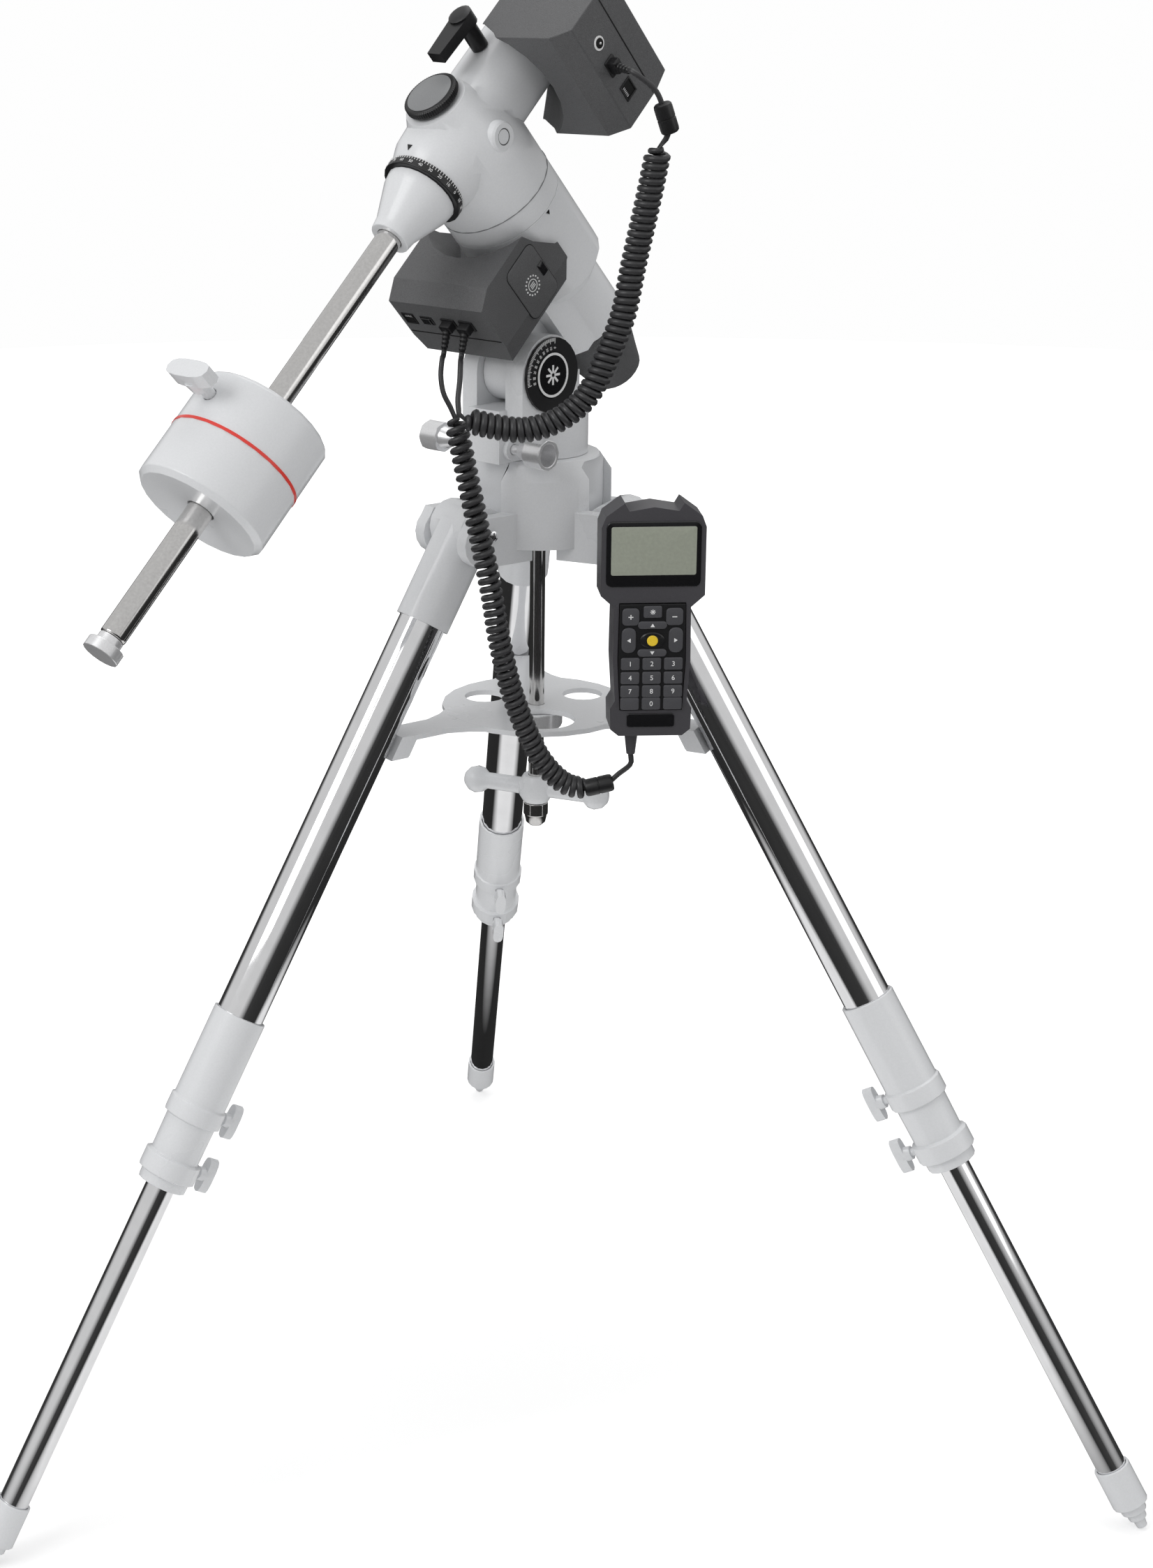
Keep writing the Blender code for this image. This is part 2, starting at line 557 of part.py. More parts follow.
def ra_axis_pieces(turn):
    """Polar-axis housing with its lug, its motor case and the polar-scope cover."""
    tilt = empty("altitude", ALTITUDE_AXIS, turn)
    polar = frame(CROSSING, POLAR, X)
    rim, r = HEAD_RIM - GAP, HEAD_RADIUS
    profile = [(0, HOUSING_END), (HOUSING_RADIUS, HOUSING_END), (HOUSING_RADIUS, -0.151), (r, -0.138),
        (r, rim), (0, rim)]
    housing = add("ra_housing", turned(profile, BIG), polar, WHITE, tilt)
    side_on = frame(CROSSING, X, DEC)  # local X is DEC, local Y is POLAR
    neck = [(0.010, -0.136), (-0.042, -0.136), (-0.042, -0.188), (-0.030, -0.1965), (0.010, -0.1965)]
    join(housing, prism(neck, -0.0275, 0.0275), side_on)
    lug_width = (YOKE_WEST[1] + GAP, YOKE_EAST[0] - GAP)
    lug = arc((0, 0), 0.0235, 180, 360, 12) + [(0.0235, 0.040), (-0.0235, 0.040)]
    lug_place = frame(ALTITUDE_AXIS, X, -POLAR)
    join(housing, prism(lug, *lug_width), lug_place)
    cut(housing, turned(rod_profile(0.0083, -0.06, 0.06), ROUND), frame(ALTITUDE_AXIS, X, Y))
    cut(housing, turned(rod_profile(0.0157, HOUSING_END - 0.01, rim + 0.01), ROUND), polar)
    for side in (1, -1):
        flat = sorted((side * HOUSING_FLAT, side * 0.06))
        cut(housing, block((-0.05, -0.160, flat[0]), (0.06, rim - 0.001, flat[1])), side_on)
    # the case stands below the polar axis, its ports facing away from it
    ports = frame(CROSSING - X * 0.0035, -POLAR, -DEC)
    case = motor_case("ra_motor_case", ports, 0.0720, r, tilt)
    clear = r + 2 * GAP
    cut(case, turned(rod_profile(clear, -0.20, 0.0), BIG), polar)
    cover = [
        (0, COVER_END), (0.0195, COVER_END), (0.0215, COVER_END + 0.002), (0.0300, -0.2230), (0.0335,
            HOUSING_END - 0.006),
        (0.0335, HOUSING_END - GAP), (0.0300, HOUSING_END - GAP), (0.0300, HOUSING_END - 0.006), (0.0270,
            -0.2230),
        (0.0185, COVER_END + 0.004), (0, COVER_END + 0.004),
    ]
    slide = empty("polar_scope_cover_slide", CROSSING, tilt)
    add("polar_scope_cover", turned(cover, BIG), polar, DARK, slide)
    return tilt


def dec_head(tilt):
    """Right-ascension head with the declination barrel, its cap, lever and motor case."""
    head_axis = empty("right_ascension", CROSSING, tilt)
    polar = frame(CROSSING, POLAR, X)
    dec = frame(CROSSING, DEC, X)
    r = HEAD_RADIUS
    profile = [
        (0, HEAD_RIM), (r, HEAD_RIM), (r, -0.018), (0.0400, 0.006), (0.0290, 0.026), (0.0240, 0.0365), (0,
            0.0365),
    ]
    head = add("dec_head", turned(profile, BIG), polar, WHITE, head_axis)
    barrel = [
        (0, -0.0457), (0.0300, -0.0457), (0.0345, -0.0330), (0.0358, -0.0120), (0.0350, 0.0120), (0.0320,
            0.0300),
        (0.0317, 0.1050), (0, 0.1050),
    ]
    join(head, turned(barrel, 28), dec)
    join(head, turned([(0, -0.152), (0.0150, -0.152), (0.0150, -0.055), (0, -0.055)], ROUND), polar)
    cut(head, turned(rod_profile(0.0112, -0.06, 0.12), ROUND), dec)
    cut(head, turned(rod_profile(0.0095, -0.17, -0.014), 20), polar)
    cut(head, turned(rod_profile(0.0052, 0.0300, 0.06), SMALL), frame(CROSSING, X, DEC))
    cap = [(0, 0.0388), (0.0205, 0.0388), (0.0205, 0.0440), (0.0192, 0.0450), (0, 0.0450)]
    add("front_cap", turned(cap, BIG), polar, BLACK, empty("front_cap_slide", CROSSING, head_axis))
    ports = frame(CROSSING + POLAR * 0.002, DEC, X)
    case = motor_case("dec_motor_case", ports, 0.0585, 0.0317, head_axis)
    cut(case, turned(rod_profile(0.0323, 0.0, 0.2), 28), dec)
    lever_place = frame(CROSSING + DEC * 0.0590, POLAR, X)
    stem = [(0, 0.0322), (0.0065, 0.0322), (0.0065, 0.0525), (0.0090, 0.0530), (0.0090, 0.0635),
        (0.0050, 0.0655), (0, 0.0655)]
    lever = turned(stem, ROUND)
    arm = add("dec_clutch_lever", lever, lever_place, BLACK,
        empty("dec_clutch_lever_axis", lever_place.translation, head_axis))
    outline = [(-0.0085, 0.0), (-0.0065, -0.0370), (0.0065, -0.0378), (0.0085, 0.0)]
    join(arm, prism(outline, 0.0535, 0.0620), lever_place)
    return head_axis


def dec_axis_pieces(head_axis):
    """What turns with declination: shaft, cone, circle, saddle, bar, weight and end cap."""
    spin = empty("declination", CROSSING, head_axis)
    dec = frame(CROSSING, DEC, X)
    add("dec_shaft", turned(rod_profile(0.0109, -0.0560, 0.1150), ROUND), dec, STEEL, spin)
    low = SHAFT_END
    cone = [(0, -0.0975), (0.0150, -0.0975), (0.0163, -0.0885), (0.0262, -0.0620), (0.0275, -0.0540),
        (0, -0.0540)]
    body = add("dec_cone", turned(cone, BIG), dec, WHITE, spin)
    cut(body, turned(rod_profile(0.0109 + GAP, -0.0560 - GAP, 0.0), ROUND), dec)
    cut(body, turned(rod_profile(SHAFT_RADIUS + GAP, -0.12, -0.085), ROUND), dec)
    circle = [(0.0115, -0.0537), (0.0312, -0.0537), (0.0312, -0.0485), (0.0300, -0.0460), (0.0115, -0.0460)]
    add("dec_setting_circle", turned(circle, BIG), dec, BLACK,
        empty("dec_setting_circle_axis", CROSSING, spin))
    shaft = [(0, low - 0.012), (0.0045, low - 0.012), (0.0045, low), (SHAFT_RADIUS - 0.001, low),
        (SHAFT_RADIUS, low + 0.001),
             (SHAFT_RADIUS, -0.0853), (0, -0.0853)]
    add("counterweight_shaft", turned(shaft, ROUND), dec, STEEL, spin)
    end = [
        (0, low - 0.0145), (0.0135, low - 0.0145), (0.0135, low - 0.0062), (0.0092, low - 0.0060), (0.0092,
            low - GAP),
        (0.0045 + GAP, low - GAP), (0.0045 + GAP, low - 0.0125), (0, low - 0.0125),
    ]
    add("shaft_end_cap", turned(end, ROUND), dec, SILVER,
        empty("shaft_end_cap_axis", CROSSING + DEC * low, spin))
    saddle(spin)
    slide = empty("counterweight_slide", CROSSING + DEC * sum(WEIGHT_SPAN) / 2, spin)
    a, b = WEIGHT_SPAN
    r = WEIGHT_RADIUS
    body = [(SHAFT_RADIUS + 0.0008, a + 0.004), (r - 0.014, a + 0.001), (r - 0.004, a), (r, a + 0.004),
        (r, b - 0.003), (r - 0.003, b), (SHAFT_RADIUS + 0.0008, b)]
    weight = add("counterweight", turned(body, BIG), dec, WHITE, slide)
    centre = CROSSING + DEC * (b - 0.022)
    cut(weight, turned(rod_profile(0.0050, 0.0, 0.08), SMALL), frame(centre, POLAR, DEC))
    wing_knob("counterweight_knob", centre, POLAR, X, SHAFT_RADIUS + 0.0015, WEIGHT_RADIUS + 0.008, slide,
        1.5)


def saddle(spin):
    """Dovetail saddle on top of the declination axis, with its clamp knob."""
    dec = frame(CROSSING, DEC, X)
    flange = [(0, 0.1155), (0.0255, 0.1155), (0.0350, 0.1250), (0.0350, 0.1380), (0, 0.1380)]
    head = add("saddle", turned(flange, 28), dec, WHITE, spin)
    along = frame(CROSSING, POLAR, X)  # local Y is DEC
    base, top, floor = 0.1345, 0.1600, 0.1480
    channel = [
        (-0.036, base), (0.036, base), (0.036, top), (0.0165, top), (0.0215, floor), (-0.0215,
            floor), (-0.0165, top),
        (-0.036, top),
    ]
    join(head, prism(channel, -0.045, 0.045), along)
    knob = frame(CROSSING + DEC * 0.1535, -X, POLAR)
    cut(head, turned(rod_profile(0.0044, 0.0, 0.06), SMALL), knob)
    axis = empty("saddle_knob_axis", knob.translation, spin)
    screw = add("saddle_knob", knurled(0.0118, 0.0445, 0.0605, 0.0088, 0.0460), knob, SILVER, axis)
    stud = [(0, 0.0215), (0.004, 0.0215), (0.004, 0.0380), (0.0062, 0.0385), (0.0095, 0.0455), (0, 0.0455)]
    join(screw, turned(stud, SMALL), knob)


# Handset ------------------------------------------------------------------------------
def handset_outline(grow=0.0):
    """Right and left halves of the case's front outline."""
    right = [
        (0.0235, -0.088), (0.0295, -0.083), (0.0300, -0.067), (0.0265, -0.061), (0.0285, -0.030), (0.0280,
            0.010),
        (0.0380, 0.019), (0.0380, 0.070), (0.0350, 0.078), (0.0215, 0.088), (0.0180, 0.082),
    ]
    right = [(x + grow, y) for x, y in right]
    return right + [(0.0, 0.0850)] + [(-x, y) for x, y in right[::-1]]


def handset(leg_axis):
    """Handset with its key mat, hooked on a holder that clasps the east leg's knuckle."""
    right = Z.cross(HANDSET_FACING)
    place = frame(HANDSET_CENTRE, HANDSET_FACING, right)
    front, back = HANDSET_DEPTH / 2, -HANDSET_DEPTH / 2
    lift = empty("handset_lift", HANDSET_CENTRE, leg_axis)
    case = add("handset_case", prism(handset_outline(), back, front), place, DARK, lift, sharp=25)
    mat = [(-0.0225, -0.0675), (0.0225, -0.0675), (0.0245, -0.030), (0.0240, 0.0128), (-0.0240, 0.0128),
        (-0.0245, -0.030)]
    pocket = [(x * 1.02, -0.0274 + (y + 0.0274) * 1.02) for x, y in mat]
    cut(case, prism(pocket, front - 0.0035, front + 0.01), place)
    cut(case, block((-0.009, -0.012, back - 0.01), (0.009, 0.0065, back + 0.005)), place)
    relief = frame(place @ Vector((-0.0123, -0.087, 0.0)), -Z, right)
    join(case, turned([(0, -0.003), (0.0050, -0.003), (0.0050, 0.0035), (0.0032, 0.0195), (0, 0.0195)], SMALL), relief)
    press = empty("key_press", HANDSET_CENTRE, lift)
    add("handset_keypad", prism(mat, front - 0.0035 + KEY_TRAVEL + 0.0007, front + 0.0010), place, KEYPAD,
        press)
    # holder: a collar on the knuckle, an arm, a back plate and the hook
    radial, tangent, along = leg_directions(LEG_AZIMUTHS["east"])
    pivot = radial * LEG_PIVOT_RADIUS + Z * PIVOT_HEIGHT
    knuckle = frame(pivot, along, -radial)
    low, high = HOLDER_STATION
    wall = KNUCKLE_RADIUS + GAP + 0.0035
    middle = pivot + along * (low + high) / 2
    holder = add("handset_holder", turned(rod_profile(wall, low, high), ROUND), knuckle, BLACK, leg_axis)
    depth = (middle - HANDSET_CENTRE).dot(HANDSET_FACING)
    offset = (middle - HANDSET_CENTRE).dot(right)
    height = middle.z - HANDSET_CENTRE.z
    arm = block((offset - 0.009, height - 0.008, depth + 0.004),
        (offset + 0.009, height + 0.008, back - 0.002))
    join(holder, arm, place)
    plate = prism(rounded_box(0.046, 0.044, 0.005, 3, (0.0035, 0.0)), back - GAP - 0.0025, back - GAP)
    join(holder, plate, place)
    join(holder, block((-0.0075, -0.0030, back - 0.0015), (0.0075, 0.0062, back + 0.0042)), place)
    cut(holder, turned(rod_profile(KNUCKLE_RADIUS + GAP, 0.0, 0.12), ROUND), knuckle)
    return place


# Cords --------------------------------------------------------------------------------
def cords(root):
    """The declination cord and the handset cord: plugs, straight leads and curly stretches."""
    dec_port = CROSSING + POLAR * 0.0017 + DEC * 0.0727 + X * CASE_SIZE[1]
    port_plane = CROSSING - POLAR * 0.0905 - DEC * CASE_SIZE[1]
    plugs = {
        "dec_cord_plug": (dec_port, X, POLAR, X * 0.87 - DEC * 0.25),
        "dec_cord_ra_plug": (port_plane + X * 0.0181, -DEC, X, -DEC * 0.35 - Z),
        "hand_cord_plug": (port_plane, -DEC, X, -DEC * 0.35 - Z),
    }
    ends = []
    for name, (origin, axis, hint, bend) in plugs.items():
        body = prism([(-0.0052, -0.0037), (0.0052, -0.0037), (0.0052, 0.0037), (-0.0052, 0.0037)], GAP,
            0.0065)
        plug = add(name, body, frame(origin, axis, hint), BLACK, root)
        elbow, bend = origin + axis * 0.0035, bend.normalized()
        join(plug, turned([(0, 0.0), (0.0034, 0.0), (0.0029, 0.0150), (0, 0.0150)], SMALL),
            frame(elbow, bend, hint))
        ends.append([elbow + bend * (0.0150 + 3 * GAP), elbow + bend * 0.0210])
    start, ra_end, hand_start = ends
    grip = HANDSET_CENTRE + Z.cross(HANDSET_FACING) * -0.0123 - Z * (0.087 + 0.0195 + 2 * GAP)
    routes = (DEC_COIL_ROUTE, HAND_COIL_ROUTE)
    coil_end = [route[-1] + (route[-1] - route[-2]).normalized() * (CORD_RADIUS + 3 * GAP) for route in routes]
    coil_top = [route[0] + (route[0] - route[1]).normalized() * 4 * GAP for route in routes]
    made = [
        cord("dec_cord_lead", start + DEC_LEAD_ROUTE + [coil_top[0]], CORD_RADIUS, 0.0065),
        cord("dec_cord_coil", DEC_COIL_ROUTE, DEC_COIL_RADIUS, 0.030, 4),
        cord("dec_cord_tail", ra_end + DEC_TAIL_ROUTE + [coil_end[0]], CORD_RADIUS, 0.0065),
        cord("hand_cord_tail", hand_start + HAND_TAIL_ROUTE + [coil_top[1]], CORD_RADIUS, 0.0065),
        cord("hand_cord_coil", HAND_COIL_ROUTE, HAND_COIL_RADIUS, 0.030, 4),
        cord("hand_cord_lead", [coil_end[1]] + HAND_LEAD_ROUTE + [grip - Z * 0.008, grip], CORD_RADIUS,
            0.0065),
    ]
    for piece in made:
        piece.parent = root


def clear_scene():
    for old in list(bpy.data.objects):
        bpy.data.objects.remove(old, do_unlink=True)


def recentre(root):
    """Moves the root so that the box of everything but the cords is centred on X = Y = 0."""
    bpy.context.view_layer.update()
    graph = bpy.context.evaluated_depsgraph_get()
    points = []
    for piece in bpy.context.scene.objects:
        if piece.type == "MESH" and not piece.hide_render and "_cord_" not in piece.name:
            solved = piece.evaluated_get(graph)
            points += [solved.matrix_world @ vertex.co for vertex in solved.data.vertices]
    cloud = np.array(points)
    middle = (cloud.min(axis=0) + cloud.max(axis=0)) / 2
    root.location = (-middle[0], -middle[1], 0)
    bpy.context.view_layer.update()


def main():
    clear_scene()
    root = empty("tripod", (0, 0, 0))
    tripod_hub(root)
    legs = {label: leg(label, azimuth, root) for label, azimuth in LEG_AZIMUTHS.items()}
    east = legs["east"]
    spreader(root)
    turn = azimuth_base(root)
    tilt = ra_axis_pieces(turn)
    head_axis = dec_head(tilt)
    dec_axis_pieces(head_axis)
    handset(east)
    cords(root)
    recentre(root)


main()
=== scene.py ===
"""Looks for a motorised equatorial telescope mount on its tripod.

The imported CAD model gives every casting, tube and knob its place. Each CAD node is shown as a smoothed copy
with broken edges in its real finish, and the fine pieces are added to it: curly cords, sockets, scales, keys
and screws.
All lengths are in metres, +Z is up.
"""

import json
import logging
import math
from dataclasses import dataclass, field
from enum import Enum
from typing import Callable, Optional, Sequence

import bmesh
import bpy
import numpy as np
from mathutils import Matrix, Vector
from mathutils.bvhtree import BVHTree


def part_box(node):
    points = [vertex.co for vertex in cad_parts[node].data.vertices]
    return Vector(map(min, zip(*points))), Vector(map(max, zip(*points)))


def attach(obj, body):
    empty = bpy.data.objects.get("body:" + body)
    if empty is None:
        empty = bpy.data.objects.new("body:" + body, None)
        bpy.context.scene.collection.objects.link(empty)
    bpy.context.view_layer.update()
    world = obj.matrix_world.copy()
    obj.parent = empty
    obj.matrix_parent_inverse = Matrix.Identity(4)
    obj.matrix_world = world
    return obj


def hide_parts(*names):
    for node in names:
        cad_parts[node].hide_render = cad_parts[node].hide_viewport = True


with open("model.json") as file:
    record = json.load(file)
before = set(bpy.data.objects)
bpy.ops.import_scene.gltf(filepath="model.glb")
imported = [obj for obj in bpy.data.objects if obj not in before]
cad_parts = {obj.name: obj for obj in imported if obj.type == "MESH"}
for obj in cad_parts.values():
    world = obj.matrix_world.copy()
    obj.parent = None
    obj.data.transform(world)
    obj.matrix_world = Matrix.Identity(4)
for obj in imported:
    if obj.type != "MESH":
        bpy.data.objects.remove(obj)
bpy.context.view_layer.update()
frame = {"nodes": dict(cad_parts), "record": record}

LOG = logging.getLogger("mount")

# Where the frame puts the mount ---------------------------------------------------------
SHIFT = Vector((-0.04827, 0.08009, 0.0))  # the tripod's axis at the floor
CROSSING = SHIFT + Vector((0.0, -0.08723, 1.03399))  # where the two turning axes meet
POLAR = Vector((0.0, -0.681998, 0.731354))
DEC = Vector((0.0, 0.731354, 0.681998))
X, Y, Z = Vector((1, 0, 0)), Vector((0, 1, 0)), Vector((0, 0, 1))
ALTITUDE_AXIS = SHIFT + Vector((0.0, -0.0237, 0.8575))
CASE_REACH = 0.0985  # from the crossing to a motor case's port face
CASE_EAST = 0.0442  # the right ascension case's east face
BADGE = (-0.0975, 0.0500)  # the hatch's badge on that face, along POLAR and against DEC
HANDSET_CENTRE = SHIFT + Vector((0.1342, -0.0247, 0.690))
HANDSET_FACING = Vector((0.731, -0.682, 0.0))
HANDSET_FRONT = 0.015
WORM_HOLE = CROSSING + X * 0.2 + DEC * 0.0028 + POLAR * 0.0006  # outside the head, level with its worm's hole
SCALE_START, SCALE_STOP = math.radians(-95), math.radians(15)  # the latitude scale's first and last mark
SCALE_TEXT = math.radians(180)  # the scale's numbers read towards its middle
VIEW_TURN = math.radians(47)  # how far the camera stands round from -Y


def place_at(origin: Vector, axis: Vector, hint: Vector) -> Matrix:
    """Makes a local frame.

    Args:
        origin: its origin.
        axis: the direction of its local Z.
        hint: the direction nearest to its local X.

    Returns:
        The matrix from that frame to the model's.
    """
    z = Vector(axis).normalized()
    x = (Vector(hint) - z * Vector(hint).dot(z)).normalized()
    matrix = Matrix((x, z.cross(x), z)).transposed().to_4x4()
    matrix.translation = Vector(origin)
    return matrix


# Finishes --------------------------------------------------------------------------------
class Finish(Enum):
    """Every finish on the mount, by the name of its material."""

    WHITE = "white_enamel"
    TUBE = "polished_tube"
    STEEL = "ground_steel"
    SILVER = "satin_silver"
    CASE = "textured_case"
    SATIN_BLACK = "satin_black"
    GLOSS_BLACK = "gloss_black"
    # Painted shade for holes and sockets, drawn as near-black discs and pads; the same black also draws the
    # real parting lines, grooves and index marks.
    HOLE = "painted_hole_shade_and_dark_lines"
    HANDSET = "handset_shell"
    CORD = "cord_sheath"
    GREY = "grey_disc"
    KEYS = "key_rubber"
    SCREEN = "screen_glass"
    PRINT = "white_print"
    RED = "red_band"
    YELLOW = "yellow_key"


@dataclass(frozen=True)
class Recipe:
    """How one finish looks.

    Attributes:
        colour: base colour, linear.
        roughness: lowest and highest roughness over the surface.
        metallic: from 0 to 1.
        coat: strength of a clear coat.
        grain: (size of a grain in 1/m, depth of the grain in metres).
        mottle: how far the colour varies, as a share.
        stretch: scale of the grain along the three axes.
        slot: the record's material slot; not used.
    """

    colour: tuple[float, float, float]
    roughness: tuple[float, float]
    metallic: float = 0.0
    coat: float = 0.0
    grain: tuple[float, float] = (900.0, 0.00002)
    mottle: float = 0.04
    stretch: tuple[float, float, float] = (1.0, 1.0, 1.0)
    slot: str = "dark_plastic"


RECIPES: dict[Finish, Recipe] = {
    Finish.WHITE: Recipe(
        (0.76, 0.77, 0.785), (0.26, 0.36), 0.0, 0.35, (700.0, 0.000025), 0.02, slot="painted_white"
    ),
    Finish.TUBE: Recipe((0.88, 0.88, 0.89), (0.035, 0.09), 1.0, 0.0, (60.0, 0.000004), 0.03, slot="chrome"),
    Finish.STEEL: Recipe(
        (0.70, 0.69, 0.68), (0.09, 0.18), 1.0, 0.0, (500.0, 0.000006), 0.06, slot="brushed_steel"
    ),
    Finish.SILVER: Recipe(
        (0.88, 0.88, 0.89), (0.24, 0.36), 0.65, 0.0, (1200.0, 0.00002), 0.06, slot="silver_knob"
    ),
    Finish.CASE: Recipe(
        (0.100, 0.101, 0.104), (0.36, 0.48), 0.0, 0.0, (1500.0, 0.00022), 0.22, slot="dark_plastic"
    ),
    Finish.SATIN_BLACK: Recipe(
        (0.014, 0.014, 0.015), (0.28, 0.42), 0.0, 0.0, (1500.0, 0.00003), 0.15, slot="black_plastic"
    ),
    Finish.GLOSS_BLACK: Recipe(
        (0.008, 0.008, 0.009), (0.06, 0.14), 0.0, 0.5, (300.0, 0.000004), 0.05, slot="black_plastic"
    ),
    # Near-black: painted shade inside holes and sockets, and the colour of the dark parting lines and index
    # marks.
    Finish.HOLE: Recipe(
        (0.003, 0.003, 0.003), (0.6, 0.8), 0.0, 0.0, (900.0, 0.00002), 0.1, slot="black_plastic"
    ),
    Finish.HANDSET: Recipe(
        (0.062, 0.060, 0.067), (0.34, 0.46), 0.0, 0.0, (2200.0, 0.00006), 0.12, slot="dark_plastic"
    ),
    Finish.CORD: Recipe(
        (0.040, 0.040, 0.042), (0.30, 0.42), 0.0, 0.0, (1800.0, 0.00003), 0.18, slot="cord_rubber"
    ),
    Finish.GREY: Recipe(
        (0.235, 0.24, 0.245), (0.34, 0.44), 0.0, 0.0, (1500.0, 0.00003), 0.06, slot="black_plastic"
    ),
    Finish.KEYS: Recipe(
        (0.070, 0.070, 0.077), (0.40, 0.52), 0.0, 0.0, (2200.0, 0.00003), 0.10, slot="keypad"
    ),
    Finish.SCREEN: Recipe(
        (0.33, 0.35, 0.29), (0.10, 0.16), 0.0, 0.6, (400.0, 0.000002), 0.05, slot="keypad"
    ),
    Finish.PRINT: Recipe(
        (0.80, 0.80, 0.80), (0.45, 0.55), 0.0, 0.0, (1500.0, 0.00001), 0.03, slot="painted_white"
    ),
    Finish.RED: Recipe(
        (0.78, 0.045, 0.030), (0.30, 0.40), 0.0, 0.3, (900.0, 0.00001), 0.04, slot="painted_white"
    ),
    Finish.YELLOW: Recipe(
        (0.86, 0.60, 0.030), (0.30, 0.40), 0.0, 0.2, (900.0, 0.00001), 0.05, slot="keypad"
    ),
}

CAD_FINISHES: dict[str, Finish] = {
    "painted_white": Finish.WHITE, "chrome": Finish.TUBE, "brushed_steel": Finish.STEEL,
    "silver_knob": Finish.SILVER, "dark_plastic": Finish.CASE, "black_plastic": Finish.SATIN_BLACK,
    "cord_rubber": Finish.CORD, "keypad": Finish.KEYS,
}


